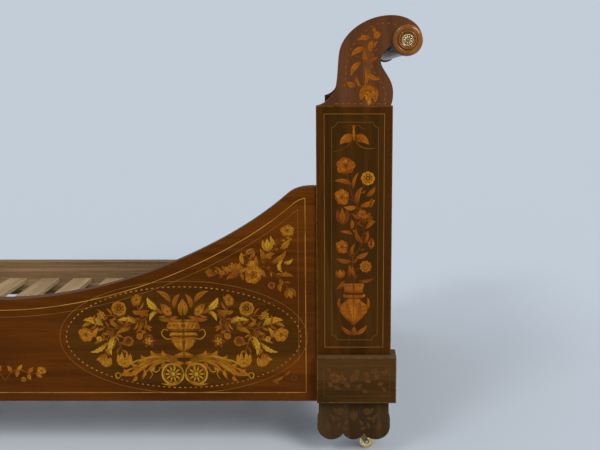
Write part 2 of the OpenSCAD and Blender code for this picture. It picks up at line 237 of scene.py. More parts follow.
def dress(tree, shader, colour, roughness, relief=None, strength=0.1, depth=0.0003):
    # gives the shader its colour, its roughness and perhaps a fine relief
    tree.links.new(colour, shader.inputs["Base Color"])
    tree.links.new(roughness, shader.inputs["Roughness"])
    if relief is not None:
        bump = addNode(tree, "Bump", {"Strength": strength, "Distance": depth, "Height": relief})
        tree.links.new(bump.outputs[0], shader.inputs["Normal"])


def addPolish(shader, coat=0.05, coatRoughness=0.16):
    # weak warm reflections under a thin coat
    shader.inputs["Specular IOR Level"].default_value = polishGleam
    shader.inputs["Specular Tint"].default_value = oldPolish
    shader.inputs["Coat Weight"].default_value = coat
    shader.inputs["Coat Roughness"].default_value = coatRoughness


def buildWoodFigure():
    # Place has the grain along its Z. Figure: broad flowing bands. Fibre: fine streaks. Pores: short dark
    # dashes. Cloud: slow changes over a board
    group, given, result = newGroup("woodFigure", {"Place": "Vector"},
                                    {"Figure": "Float", "Fibre": "Float", "Pores": "Float", "Cloud": "Float"})
    place = given.outputs["Place"]
    broad = scaledNoise(group, place, (9, 9, 0.9), 4, 0.55, 0.5)
    bands = calc(group, "SINE", times(group, broad, 34.0))
    bands = calc(group, "MULTIPLY_ADD", bands, 0.22, 0.5)
    figure = calc(group, "ADD", times(group, broad, 0.65), times(group, bands, 0.35))
    fibre = scaledNoise(group, place, (420, 420, 8), 3, 0.6)
    pores = fade(group, scaledNoise(group, place, (1500, 1500, 45), 1, 0.5), 0.60, 0.70)
    cloud = scaledNoise(group, place, (3.1, 3.1, 1.7), 2, 0.5)
    for label, value in (("Figure", figure), ("Fibre", fibre), ("Pores", pores), ("Cloud", cloud)):
        group.links.new(value, result.inputs[label])
    return group


def buildRubbedEdge():
    # distance to the nearest edge of a box is the middle one of the distances to its three pairs of faces
    group, given, result = newGroup("rubbedEdge", {"Place": "Vector", "Low": "Vector", "High": "Vector",
                                                   "Reach": "Float"}, {"Mask": "Float"})
    place = given.outputs["Place"]
    below = calcVector(group, "SUBTRACT", place, given.outputs["Low"])
    above = calcVector(group, "SUBTRACT", given.outputs["High"], place)
    parts = addNode(group, "SeparateXYZ", {0: calcVector(group, "MINIMUM", below, above)}).outputs
    smaller = calc(group, "MINIMUM", parts[0], parts[1])
    larger = calc(group, "MAXIMUM", parts[0], parts[1])
    middle = calc(group, "MAXIMUM", smaller, calc(group, "MINIMUM", larger, parts[2]))
    rough = scaledNoise(group, place, (70, 70, 70), 3, 0.65)
    reach = times(group, given.outputs["Reach"], calc(group, "MULTIPLY_ADD", rough, 3.2, -0.8))
    worn = calc(group, "DIVIDE", middle, calc(group, "MAXIMUM", reach, 0.0001))
    group.links.new(inverse(group, fade(group, worn, 0.35, 1.0)), result.inputs["Mask"])
    return group


def buildDustAndTopHighlight():
    # dust lies on faces that look up, thinner where the cloud is dark; its paler colour there also paints a
    # highlight on the tops
    group, given, result = newGroup("dustAndTopHighlight", {"Cloud": "Float"}, {"Mask": "Float"})
    up = addNode(group, "SeparateXYZ", {0: addNode(group, "NewGeometry").outputs["Normal"]}).outputs[2]
    mask = times(group, fade(group, up, 0.70, 0.95), fade(group, given.outputs["Cloud"], 0.0, 0.35))
    group.links.new(mask, result.inputs["Mask"])
    return group


def buildCutVeneer():
    # Cut is (tone, way along, way across). Tone runs from brown to boxwood yellow; a midrib, slanting veins,
    # a scorched root and one shaded edge darken it
    group, given, result = newGroup("cutVeneer", {"Cut": "Vector", "Place": "Vector"},
                                    {"Colour": "Color", "Fibre": "Float"})
    tone, along, across = addNode(group, "SeparateXYZ", {0: given.outputs["Cut"]}).outputs
    place = given.outputs["Place"]
    patch = scaledNoise(group, place, (60, 60, 60), 2, 0.5)
    fibre = scaledNoise(group, place, (500, 500, 130), 3, 0.6)
    mixedTone = calc(group, "ADD", tone, calc(group, "MULTIPLY_ADD", patch, 0.36, -0.18), clamp=True)
    ramp = addNode(group, "ValToRGB", {"Fac": mixedTone})
    while len(ramp.color_ramp.elements) < len(veneerTones):
        ramp.color_ramp.elements.new(0.5)
    for element, (position, rgb) in zip(ramp.color_ramp.elements, veneerTones):
        element.position = position
        element.color = solidColour(rgb)
    side = calc(group, "ABSOLUTE", across)
    midrib = inverse(group, fade(group, side, 0.05, 0.16))
    veinPlace = calc(group, "FRACT", calc(group, "SUBTRACT", times(group, along, 6.0), side))
    vein = calc(group, "ABSOLUTE", calc(group, "SUBTRACT", veinPlace, 0.5))
    vein = inverse(group, fade(group, vein, 0.06, 0.18))
    lines = times(group, calc(group, "MAXIMUM", midrib, times(group, vein, 0.7)), 0.62)
    scorch = times(group, inverse(group, fade(group, along, 0.0, 0.55)), 0.5)
    scorch = calc(group, "ADD", scorch, times(group, fade(group, across, 0.2, 1.0), 0.26))
    light = inverse(group, calc(group, "MAXIMUM", lines, scorch), clamp=True)
    light = times(group, light, calc(group, "MULTIPLY_ADD", fibre, 0.7, 0.65))
    group.links.new(dimmed(group, ramp.outputs[0], light), result.inputs["Colour"])
    group.links.new(fibre, result.inputs["Fibre"])
    return group


# Finishes. Colours are linear. Deep and light are the two ends of the figure, rubbed is a worn edge.

waxed = {"gloss": 0.40, "coat": 0.05, "coatRoughness": 0.16}
walnut = {**waxed, "deep": (0.026, 0.0075, 0.0006), "light": (0.072, 0.022, 0.0017),
          "rubbed": (0.17, 0.070, 0.014)}
fieldWalnut = {**waxed, "deep": (0.024, 0.0086, 0.0010), "light": (0.066, 0.0240, 0.0026),
               "rubbed": (0.17, 0.070, 0.014)}
dullWalnut = {"deep": (0.023, 0.0102, 0.0022), "light": (0.062, 0.0280, 0.0064),
              "rubbed": (0.17, 0.095, 0.035), "gloss": 0.48, "coat": 0.03, "coatRoughness": 0.24}
footWalnut = {"deep": (0.024, 0.0130, 0.0058), "light": (0.060, 0.0330, 0.0150),
              "rubbed": (0.15, 0.095, 0.045), "gloss": 0.52, "coat": 0.0, "coatRoughness": 0.24}
crookVeneer = {"deep": (0.052, 0.0150, 0.0040), "light": (0.140, 0.047, 0.0130),
               "rubbed": (0.22, 0.10, 0.04), "gloss": 0.34, "coat": 0.22, "coatRoughness": 0.20}
railVeneer = {**waxed, "deep": (0.044, 0.0105, 0.0005), "light": (0.110, 0.0270, 0.0013),
              "rubbed": (0.22, 0.09, 0.015)}
ovalVeneer = {**waxed, "deep": (0.032, 0.0100, 0.0007), "light": (0.086, 0.0270, 0.0018),
              "rubbed": (0.22, 0.09, 0.015)}
turnedWood = {"deep": (0.100, 0.028, 0.0018), "light": (0.28, 0.095, 0.0070), "rubbed": (0.45, 0.22, 0.06),
              "gloss": 0.24, "coat": 0.6, "coatRoughness": 0.07}
plainOak = {"deep": (0.13, 0.075, 0.034), "light": (0.30, 0.19, 0.095), "rubbed": (0.40, 0.28, 0.16),
            "gloss": 0.52, "coat": 0.05, "coatRoughness": 0.3}
barePine = {"deep": (0.33, 0.20, 0.09), "light": (0.58, 0.41, 0.22), "rubbed": (0.66, 0.50, 0.30),
            "gloss": 0.62, "coat": 0.0, "coatRoughness": 0.3}
polishGleam = 0.18
oldPolish = (1.0, 0.38, 0.08, 1.0)
# pale tan of the dust on faces that look up, which also serves as a painted highlight there
dustHighlightColour = (0.17, 0.12, 0.07, 1.0)
darkPolish = (0.050, 0.026, 0.009, 1.0)
dulledString = (0.090, 0.028, 0.004, 1.0)
paleString = (0.50, 0.235, 0.036, 1.0)
wornReach = 0.0035   # metres from an edge that are rubbed, about

# which axes become the figure's x, y and z when the grain runs along the named one
grainOrders = {"z": (0, 1, 2), "x": (1, 2, 0), "y": (0, 2, 1)}

# cut veneers: place on the tone scale and colour
veneerTones = [(0.0, (0.070, 0.020, 0.003)), (0.3, (0.19, 0.050, 0.005)), (0.55, (0.335, 0.112, 0.009)),
               (0.8, (0.46, 0.205, 0.014)), (1.0, (0.55, 0.310, 0.036))]

woodFigure = buildWoodFigure()
rubbedEdge = buildRubbedEdge()
dustAndTopHighlight = buildDustAndTopHighlight()
cutVeneer = buildCutVeneer()


def makeWood(name, look, grain="z", edgeBox=None, wear=0.0):
    # wood on a part's own place; edgeBox is in absolute coordinates, so one material serves mirrored parts
    material, tree, shader, place = newMaterial(name)
    axes = addNode(tree, "SeparateXYZ", {0: place}).outputs
    alongGrain = {k: axes[axis] for k, axis in enumerate(grainOrders[grain])}
    figure = useGroup(tree, woodFigure, {"Place": addNode(tree, "CombineXYZ", alongGrain).outputs[0]})
    tone = fade(tree, figure["Figure"], 0.22, 0.80)
    colour = blendColour(tree, tone, solidColour(look["deep"]), solidColour(look["light"]))
    streak = calc(tree, "MULTIPLY_ADD", figure["Fibre"], 0.85, 0.55)
    streak = times(tree, streak, calc(tree, "MULTIPLY_ADD", figure["Cloud"], 0.8, 0.6))
    porous = solidColour([c * 0.35 for c in look["deep"]])
    colour = blendColour(tree, times(tree, figure["Pores"], 0.45), dimmed(tree, colour, streak), porous)
    if edgeBox is not None:
        mask = useGroup(tree, rubbedEdge, {"Place": calcVector(tree, "ABSOLUTE", place), "Low": edgeBox[0],
                                           "High": edgeBox[1], "Reach": wornReach})["Mask"]
        colour = blendColour(tree, times(tree, mask, 0.55), colour, solidColour(look["rubbed"]))
    if wear > 0:
        colour = blendColour(tree, times(tree, figure["Fibre"], wear), colour, solidColour(look["rubbed"]))
    # faces that look up get rougher with dust and paler; the paler colour is dust and also a painted
    # highlight on the tops
    dustHighlightMask = useGroup(tree, dustAndTopHighlight, {"Cloud": figure["Cloud"]})["Mask"]
    colour = blendColour(tree, times(tree, dustHighlightMask, 0.30), colour, dustHighlightColour)
    roughness = calc(tree, "MULTIPLY_ADD", figure["Fibre"], 0.16, look["gloss"] - 0.08)
    roughness = calc(tree, "ADD", roughness, times(tree, figure["Pores"], 0.2))
    roughness = calc(tree, "MULTIPLY_ADD", dustHighlightMask, 0.6, roughness, clamp=True)
    relief = calc(tree, "SUBTRACT", times(tree, figure["Fibre"], 0.35), figure["Pores"])
    dress(tree, shader, colour, roughness, relief, 0.12)
    addPolish(shader, look["coat"], look["coatRoughness"])
    return material


def makeMetal(name, bright, dull, gloss, tarnish=0.5):
    # metal with cloudy tarnish and fine scratches
    material, tree, shader, place = newMaterial(name)
    cloud = scaledNoise(tree, place, (55, 55, 55), 5, 0.65)
    cloud = fade(tree, cloud, 0.62 - 0.3 * tarnish, 0.78 - 0.2 * tarnish)
    scratch = scaledNoise(tree, place, (900, 140, 500), 2, 0.5)
    roughness = calc(tree, "ADD", calc(tree, "MULTIPLY_ADD", cloud, 0.22, gloss), times(tree, scratch, 0.08))
    colour = blendColour(tree, cloud, solidColour(bright), solidColour(dull))
    dress(tree, shader, colour, roughness, scratch, depth=0.0002)
    shader.inputs["Metallic"].default_value = 1.0
    return material


def makeInlay(name, fresh, warmth=(1.0, 1.0, 1.0)):
    # cut veneers, with the attribute "cut" on their points; a low fresh sinks them into an old dark polish
    material, tree, shader, place = newMaterial(name)
    veneer = useGroup(tree, cutVeneer, {"Cut": cutAttribute(tree), "Place": place})
    warmed = calcVector(tree, "MULTIPLY", veneer["Colour"], warmth)
    roughness = calc(tree, "MULTIPLY_ADD", veneer["Fibre"], 0.16, 0.28)
    dress(tree, shader, blendColour(tree, fresh, darkPolish, warmed), roughness, veneer["Fibre"])
    addPolish(shader)
    return material


def makeString():
    # boxwood stringing: pale lines that have yellowed and gone dull in places
    material, tree, shader, place = newMaterial("boxwoodLine")
    tone = addNode(tree, "SeparateXYZ", {0: cutAttribute(tree)}).outputs[0]
    patch = scaledNoise(tree, place, (11, 11, 11), 3, 0.6)
    level = calc(tree, "MULTIPLY", tone, fade(tree, patch, 0.30, 0.62), clamp=True)
    level = calc(tree, "MULTIPLY_ADD", level, 0.8, 0.2)
    dress(tree, shader, blendColour(tree, level, dulledString, paleString),
          calc(tree, "MULTIPLY_ADD", patch, 0.2, 0.28))
    addPolish(shader)
    return material


def absBox(low, high):
    # a part's box for absolute coordinates
    low, high = list(low), list(high)
    for k in range(2):
        if low[k] < 0 and high[k] < 0:
            low[k], high[k] = -high[k], -low[k]
    return tuple(low), tuple(high)


def boxAcrossMiddle(node):
    # the same for a part that lies over the middle of X: no lower edge there
    low, high = (list(corner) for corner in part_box(node))
    low[0], high[0] = -1.0, abs(high[0])
    return absBox(low, high)


brass = makeMetal("agedBrass", (0.80, 0.64, 0.38), (0.22, 0.13, 0.055), 0.22, 0.5)
wheelBrass = makeMetal("polishedBrass", (0.92, 0.74, 0.38), (0.40, 0.28, 0.11), 0.16, 0.25)
iron = makeMetal("blackIron", (0.10, 0.095, 0.09), (0.05, 0.03, 0.02), 0.42, 0.6)
forkBrass = makeMetal("darkBrass", (0.24, 0.165, 0.075), (0.07, 0.045, 0.025), 0.34, 0.6)
steel = makeMetal("turnedSteel", (0.55, 0.54, 0.52), (0.22, 0.19, 0.16), 0.25, 0.4)
inlay = makeInlay("cutVeneer", 0.88, (0.98, 0.93, 0.65))
postInlayed = makeInlay("postVeneer", 0.84, (1.08, 0.86, 0.45))
dullInlay = makeInlay("dulledVeneer", 0.34)
fadedInlay = makeInlay("fadedVeneer", 0.14)
stringing = makeString()
walnutEdge = makeWood("walnutEdge", walnut, "z", wear=0.75)
crookEdge = makeWood("crookEdge", crookVeneer, "z", wear=0.65)
railEdge = makeWood("railEdge", railVeneer, "x", wear=0.6)
oakEdge = makeWood("oakEdge", plainOak, "x", wear=0.6)
pineEdge = makeWood("pineEdge", barePine, "y", wear=0.6)
print("materials made")


# Finish of the parts whose shape is right.

def finishPart(node, material, edge, bevel=0.0012):
    # welds the triangles, rounds the sharp edges a little and gives the rounding its own rubbed finish
    part = frame["nodes"][node]
    part.data.materials.clear()
    part.data.materials.append(material)
    part.data.materials.append(edge or material)
    weld = part.modifiers.new("weld", "WELD")
    weld.merge_threshold = 0.00001
    if bevel:
        rounding = part.modifiers.new("rounding", "BEVEL")
        rounding.width = bevel
        rounding.segments = 2
        rounding.limit_method = "ANGLE"
        rounding.angle_limit = math.radians(32)
        rounding.use_clamp_overlap = True
        rounding.material = 1 if edge else 0
        rounding.harden_normals = False


def finishCarcass():
    postWood = makeWood("postWalnut", walnut, "z", absBox(*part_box("post_front_right")))
    plinthWood = makeWood("plinthWalnut", dullWalnut, "x", absBox(*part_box("plinth_front_right")))
    footWood = makeWood("footWalnut", footWalnut, "z")
    scrollWood = makeWood("scrollWalnut", crookVeneer, "z")
    for name in corners:
        finishPart("post_" + name, postWood, walnutEdge)
        finishPart("plinth_" + name, plinthWood, walnutEdge)
        finishPart("foot_" + name, footWood, walnutEdge)
        finishPart("scroll_" + name, scrollWood, crookEdge)
        finishPart("caster_plate_" + name, brass, None, 0.0006)
        finishPart("caster_fork_" + name, forkBrass, None, 0.0006)
        finishPart("caster_axle_" + name, steel, None, 0.0004)


def finishRailsAndEnds():
    railWood = makeWood("railWalnut", railVeneer, "x")
    backWood = makeWood("backRailOak", plainOak, "x", boxAcrossMiddle("side_rail_back"))
    cleatWood = makeWood("cleatOak", plainOak, "x")
    endWood = makeWood("endRailWalnut", walnut, "y")
    endVeneer = makeWood("endPanelVeneer", crookVeneer, "z")
    slatWood = makeWood("slatPine", barePine, "y")
    finishPart("side_rail_front", railWood, railEdge, 0.0015)
    finishPart("side_rail_back", backWood, oakEdge)
    for node in ("cleat_front", "cleat_back", "scroll_dowels"):
        finishPart(node, cleatWood, oakEdge, 0.0008)
    finishPart("slats", slatWood, pineEdge, 0.0015)
    for side in ends:
        finishPart("end_top_rail_" + side, endWood, walnutEdge)
        finishPart("end_bottom_rail_" + side, endWood, walnutEdge)
        finishPart("end_panel_" + side, endVeneer, None, 0)
        finishPart("crest_board_" + side, endVeneer, crookEdge)
    for node in ("hook_plates", "receiver_plates", "cleat_screws"):
        finishPart(node, iron, None, 0.0003)
    finishPart("caster_screws", brass, None, 0.0003)


finishCarcass()
finishRailsAndEnds()
print("carcass finished")


# Turned and cast pieces.

capShape = {"radius": 40.5, "stand": 14.0, "bodyHalf": 9.0, "bodyUp": 3.2, "bodyHigh": 7.4, "ring": 22.5,
            "ringRound": 2.5, "seat": 15.0, "seatDepth": 5, "turns": 96}
rollShape = {"radius": 35.0, "grooves": (24.0, 31.0, 38.0), "grooveDepth": 0.9, "turns": 96}
rosetteShape = {"radius": 15.0, "petals": 9, "petalLength": 4.3, "petalWidth": 1.9, "petalHigh": 2.6,
                "petalAt": 8.0, "boss": 2.2, "bossHigh": 2.8, "dish": 0.7, "turns": 64}
wheelShape = {"radius": 21.0, "half": 7.5, "hub": 8.4, "bore": 3.06, "turns": 72}


def arcPoints(r0, t0, radius, start, stop, count, high=None):
    # an arc in a turned profile, about radius r0 and height t0, angles in degrees; high is the second
    # half-axis of an ellipse
    a = np.radians(np.linspace(start, stop, count))
    return np.stack([r0 + radius * np.cos(a), t0 + (high or radius) * np.sin(a)], axis=1)


def capProfile():
    # flat back, a broad round body, a small step, the raised ring and the hollow seat
    c = capShape
    return np.vstack([
        [[0.05, 0], [c["radius"] - 1, 0]],
        arcPoints(c["radius"] - c["bodyHalf"], c["bodyUp"], c["bodyHalf"], -12, 158, 22, c["bodyHigh"]),
        [[c["ring"] + 3.2, 6.4]],
        arcPoints(c["ring"], c["stand"] - c["ringRound"], c["ringRound"], -20, 175, 12),
        [[c["seat"] + 3.0, c["stand"] - 4.4], [c["seat"] + 0.4, c["stand"] - c["seatDepth"]],
         [0.05, c["stand"] - c["seatDepth"]]]])


def domeShell(length, width, height, turns=16):
    # half ellipsoid: (length cos b cos a, width cos b sin a, height sin b)
    b = np.radians([0, 22, 44, 66, 88])
    points, faces = turned(np.stack([np.cos(b), np.sin(b)], axis=1), turns)
    return points * (length, width, height), faces


def makeCapsAndRosettes():
    capWood = makeWood("capWalnut", turnedWood, "z")
    capShell = turned(capProfile(), capShape["turns"])
    for name, (sx, sy) in corners.items():
        low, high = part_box("roll_cap_" + name)
        centre = (low + high) / 2
        face = low.y if sy > 0 else high.y
        axes = ((sx, 0, 0), (0, 0, 1), (0, -sy, 0))
        origin = (centre.x, face + sy * capShape["stand"] * mm, centre.z)
        cap = makePiece("turned_cap_" + name, capShell, origin, axes, capWood)
        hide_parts("roll_cap_" + name)
        makeRosette(name, origin, axes)


def makeRosette(name, origin, axes):
    # a dark dished disc with bright rim, petals and boss
    c = rosetteShape
    seat = (0, 0, capShape["stand"] - capShape["seatDepth"])
    r = c["radius"]
    dish = [(0.05, 0), (r - 1.2, 0), (r - 1.2, 1.2), (r - 2.6, 0.9), (5, 0.8), (0.05, 0.8)]
    points, faces = turned(dish, c["turns"])
    disc = makePiece("rosette_disc_" + name, (points + seat, faces), origin, axes, forkBrass)
    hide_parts("rosette_" + name)
    rim = np.vstack([[r - 1.6, 0.2], arcPoints(r - 1.1, 1.5, 1.1, -40, 200, 10)])
    shells = [turned(rim, c["turns"], hollow=True)]
    petal, petalFaces = domeShell(c["petalLength"], c["petalWidth"], c["petalHigh"])
    for k in range(c["petals"]):
        a = 2 * math.pi * (k + 0.5) / c["petals"]
        swing = np.array([[math.cos(a), math.sin(a), 0], [-math.sin(a), math.cos(a), 0], [0, 0, 1]])
        shells.append(((petal + (c["petalAt"], 0, c["dish"])) @ swing, petalFaces))
    boss, bossFaces = domeShell(c["boss"], c["boss"], c["bossHigh"], 20)
    shells.append((boss + (0, 0, c["dish"]), bossFaces))
    points, faces = joined(shells)
    makePiece("rosette_petals_" + name, (points + seat, faces), origin, axes, brass)


def makeRolls():
    # a plain roll with three grooves near either end, the same on both sides of its middle
    rollWood = makeWood("rollWalnut", crookVeneer, "y")
    reach = -postHigh.y / mm
    r, depth = rollShape["radius"], rollShape["grooveDepth"]
    half = [(0.05, -reach), (r - 0.4, -reach), (r, -reach + 0.4)]
    for groove in rollShape["grooves"]:
        at = groove - reach
        half += [(r, at - 1.4), (r - depth, at - 0.5), (r - depth, at + 0.5), (r, at + 1.4)]
    shell = turned(half + [(r, 0)] + [(a, -t) for a, t in half[::-1]], rollShape["turns"])
    for side, sx in ends.items():
        low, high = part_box("roll_" + side)
        centre = (low + high) / 2
        axes = ((sx, 0, 0), (0, 0, 1), (0, -sx, 0))
        roll = makePiece("turned_roll_" + side, shell, (centre.x, 0, centre.z), axes, rollWood)
        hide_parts("roll_" + side)


def makeWheels():
    # a hub that stands out, a dished web, a rounded tread and an open bore
    c = wheelShape
    r, h, hub = c["radius"], c["half"], c["hub"]
    side = np.vstack([[[c["bore"], hub], [6.4, hub], [7.0, hub - 0.5], [7.6, 4.0]],
                      arcPoints(10.4, 5.4, 2.8, 210, 275, 6),
                      [[13.6, 3.0], [14.8, 3.6], [15.4, h - 0.6], [16.0, h]],
                      arcPoints(r - 2.2, h - 2.2, 2.2, 80, 8, 7)])
    shell = turned(np.vstack([side * (1, -1), [[r, 0]], side[::-1]]), c["turns"], hollow=True)
    joints = {joint["name"]: joint for joint in frame["record"]["behaviour"]["joints"]}
    for name in corners:
        joint = joints["roll_" + name]
        axle = np.array(joint["axis"], float)
        axes = (np.cross(axle, (0, 0, 1)), (0, 0, 1), -axle)
        wheel = makePiece("brass_wheel_" + name, shell, joint["pos_m"], axes, wheelBrass,
                          body="wheel_" + name, smoothAngle=0.7)
        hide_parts("caster_wheel_" + name)


makeCapsAndRosettes()
makeRolls()
makeWheels()
print("turned pieces made")


# Marquetry: how the veneers are cut.
# Each cut is (line, half-widths, tone, closed). Its line lies in a panel's own millimetres.

ringAcross = np.array([-1.0, -1.0, 0.0, 1.0, 1.0])
sunk = -0.3          # how far a cut goes under the veneer
proud = 0.16         # how far it stands out, so that its outline is real
crown = 0.02         # how much higher its middle line is
levelRise = 0.012    # how far each level of cuts that overlap lies above the last
groundProud = 0.06   # how far a darker field stands out, under the cuts
leastHalf = 0.10     # half-width of the finest points


def leafCut(base, tip, half, tone, bend=0.12, teeth=0):
    # half-width: half * sin(pi t^0.8)^0.85, with each tooth taking up to two fifths of it away
    base, chord = np.array(base, float), np.subtract(tip, base).astype(float)
    t = np.linspace(0, 1, 25 if teeth else 11)
    arch = (bend * 4 * t * (1 - t))[:, None] * np.array([-chord[1], chord[0]])
    width = half * np.sin(np.pi * t ** 0.8) ** 0.85
    if teeth:
        width = width * (1 - 0.42 * ((t * teeth) % 1.0))
    return base + chord * t[:, None] + arch, width, tone, False


def leavesOf(rows, bend, scale=1.0):
    # rows give base x, z, tip x, z, half-width, tone and perhaps teeth; they bend by turns to either side
    return [leafCut(row[0:2], row[2:4], row[4] * scale, row[5], bend if k % 2 else -bend, *row[6:])
            for k, row in enumerate(rows)]


def petalCut(centre, angle, inner, outer, half, tone):
    # a petal widens outwards: half * sin(pi t^1.6)^0.55, with its way from inner to outer radius
    t = np.linspace(0, 1, 9)
    a = math.radians(angle)
    r = inner + (outer - inner) * t
    line = np.stack([centre[0] + r * math.cos(a), centre[1] + r * math.sin(a)], axis=1)
    return line, half * np.sin(np.pi * np.minimum(t, 0.985) ** 1.6) ** 0.55, tone, False


def discCut(centre, radius, tone):
    # half-width: sqrt(r^2 - x^2)
    x = np.sin(np.linspace(-0.5, 0.5, 7) * np.pi) * radius
    line = np.stack([centre[0] + x, np.full(7, float(centre[1]))], axis=1)
    return line, np.sqrt(np.maximum(radius ** 2 - x ** 2, 0)), tone, False


def stemCut(points, half, tone):
    # a curve that thins to two fifths of its width at its tip
    line = throughPoints(points)
    return line, half * np.linspace(1, 0.4, len(line)), tone, False


def sprigCuts(points, pitch, reach, half, tone):
    # small leaves that leave a stem by turns to its left and its right
    line = throughPoints(points, 8)
    run = wayOf(line)
    way = reachOf(line)
    cuts = []
    for k, d in enumerate(np.arange(pitch * 0.6, way[-1], pitch)):
        at = valueAt(line, way, d)
        ahead = valueAt(run, way, d)
        side = np.array([-ahead[1], ahead[0]]) * (1 if k % 2 else -1)
        tip = at + (ahead * 0.72 + side * 0.7) * reach * (0.8 + 0.1 * (k * 7 % 5))
        cuts.append(leafCut(at, tip, half, tone + 0.06 * (k * 3 % 4 - 1.5), 0.12 if k % 2 else -0.12))
    return cuts


def shapeCut(x, heights, halves, tone):
    # an upright outline: half-widths at a few rising heights, straight between them
    z = np.linspace(heights[0], heights[-1], 15)
    return np.stack([np.full(15, float(x)), z], axis=1), np.interp(z, heights, halves), tone, False


def hoopCut(centre, radiusX, radiusZ, half, tone, count=96):
    # ellipse: (radiusX cos a, radiusZ sin a)
    a = np.linspace(0, 2 * np.pi, count, endpoint=False)
    line = np.stack([centre[0] + radiusX * np.cos(a), centre[1] + radiusZ * np.sin(a)], axis=1)
    return line, np.full(count, half), tone, True


def lineCut(points, half, tone, count=2):
    # straight stretches between points
    p = np.asarray(points, float)
    t = np.linspace(0, len(p) - 1, (len(p) - 1) * (count - 1) + 1)
    line = np.stack([np.interp(t, np.arange(len(p)), p[:, k]) for k in range(2)], axis=1)
    return line, np.full(len(line), half), tone, False


def ribbon(line, half, tone):
    return line, np.full(len(line), half), tone, False


def mirrored(cuts, x):
    # the same cuts turned over about the upright line at x
    return [(line * (-1, 1) + (2 * x, 0), half, tone, closed) for line, half, tone, closed in cuts]


def frameCuts(left, bottom, right, top, half, tone):
    # a rectangle of four strips that butt at the corners
    level = [lineCut([(left - half, z), (right + half, z)], half, tone, 9) for z in (bottom, top)]
    return level + [lineCut([(x, bottom + half), (x, top - half)], half, tone, 9) for x in (left, right)]


def dashPlaces(line, length, pitch):
    # both ends of each short strip along a line
    reach = reachOf(line)
    return [[valueAt(line, reach, k * pitch + d) for d in (0, length)]
            for k in range(int((reach[-1] - length) / pitch) + 1)]


def roseCuts(centre, radius, tone, petals=7, turn=15, heart=-0.35):
    # three rings of uneven petals round a dark heart
    turn = turn + centre[0] * 7
    cuts = []
    for k in range(petals):
        cuts.append(petalCut(centre, turn + 360 * k / petals, radius * 0.2, radius * (1 - 0.07 * (k * 2 % 3)),
                             radius * (0.36 + 0.04 * (k % 2)), tone - 0.09 * (k * 2 % 3)))
    for k in range(5):
        cuts.append(petalCut(centre, turn + 30 + 72 * k, radius * 0.1, radius * (0.68 - 0.06 * (k % 2)),
                             radius * 0.25, tone + 0.14 - 0.08 * (k % 3)))
    for k in range(3):
        cuts.append(petalCut(centre, turn + 120 * k, radius * 0.04, radius * 0.36, radius * 0.15,
                             tone - 0.08))
    return cuts + [discCut(centre, radius * 0.12, max(tone + heart, 0.0))]


def peonyCuts(centre, radius, tone):
    # toothed petals that stand up from a dark-hearted rose
    x, z = centre
    cuts = []
    for k in (-1.0, 1.0, -0.4, 0.45):
        tip = (x + radius * 0.75 * k, z + radius * (1.5 - 0.25 * k * k))
        root = (x + radius * 0.2 * k, z - radius * 0.5)
        cuts.append(leafCut(root, tip, radius * 0.34, tone + 0.08 * (k % 2), -0.12 * k, 4))
    return cuts + roseCuts((x, z), radius * 0.72, tone, 6)


def ringRoseCuts(centre, radius, tone):
    # scalloped rim round an open middle
    cuts = [petalCut(centre, 45 * k, radius * 0.45, radius, radius * 0.33, tone - 0.05 * (k % 3))
            for k in range(8)]
    return cuts + [hoopCut(centre, radius * 0.42, radius * 0.42, radius * 0.09, tone - 0.15, 16),
                   discCut(centre, radius * 0.2, tone - 0.25)]


def daisyCuts(centre, radius, tone, petals=9):
    # a ring of narrow petals round a pale disc with a dark eye
    cuts = [petalCut(centre, 360 * k / petals, radius * 0.25, radius, radius * 0.28, tone)
            for k in range(petals)]
    return cuts + [discCut(centre, radius * 0.34, min(tone + 0.15, 1.0)),
                   discCut(centre, radius * 0.15, tone - 0.5)]


def starCuts(centre, radius, tone):
    # six dark pointed leaves behind a small daisy
    cuts = [leafCut(centre, (centre[0] + radius * math.cos(a), centre[1] + radius * math.sin(a)),
                    radius * 0.27, 0.25, 0.05) for a in np.radians([0, 60, 120, 180, 240, 300])]
    return cuts + daisyCuts(centre, radius * 0.5, tone, 5)


def tulipCuts(base, tip, half, tone):
    # three pointed petals, the outer two leaning away
    base, chord = np.array(base, float), np.subtract(tip, base).astype(float)
    side = np.array([-chord[1], chord[0]]) / np.hypot(*chord) * half
    return [leafCut(base, base + chord * 0.92 + side * 0.9, half * 0.5, tone - 0.1, 0.10),
            leafCut(base, base + chord * 0.92 - side * 0.9, half * 0.5, tone - 0.1, -0.10),
            leafCut(base, base + chord, half * 0.55, tone + 0.08, 0.0)]


def fanCuts(base, angle, radius, tone, spread=110, petals=7):
    # a carnation: jagged petals fanned out of a calyx
    cuts = []
    for k in range(petals):
        turn = angle - spread / 2 + spread * k / (petals - 1)
        cuts.append(petalCut(base, turn, radius * 0.25, radius * (1 - 0.08 * (k % 2)), radius * 0.15,
                             tone - 0.1 * (k % 2)))
    way = np.array([math.cos(math.radians(angle)), math.sin(math.radians(angle))])
    calyx = leafCut(base - radius * 0.35 * way, base + radius * 0.45 * way, radius * 0.28, tone - 0.2, 0.0)
    return cuts + [calyx]


def budCuts(base, tip, half, tone):
    # a closed bud with a darker slit
    middle = np.add(base, np.subtract(tip, base) * 0.25)
    return [leafCut(base, tip, half, tone, 0.0), leafCut(middle, tip, half * 0.45, tone - 0.25, 0.0)]


kinds = {"leaf": leafCut, "petal": petalCut, "disc": discCut, "stem": stemCut, "shape": shapeCut,
         "line": lineCut, "rose": roseCuts, "peony": peonyCuts, "ringRose": ringRoseCuts, "daisy": daisyCuts,
         "star": starCuts, "tulip": tulipCuts, "fan": fanCuts, "bud": budCuts}


def drawn(rows):
    # each row names a kind of flower or cut, followed by what its function takes
    cuts = []
    for kind, *measures in rows:
        made = kinds[kind](*measures)
        cuts += made if isinstance(made, list) else [made]
    return cuts


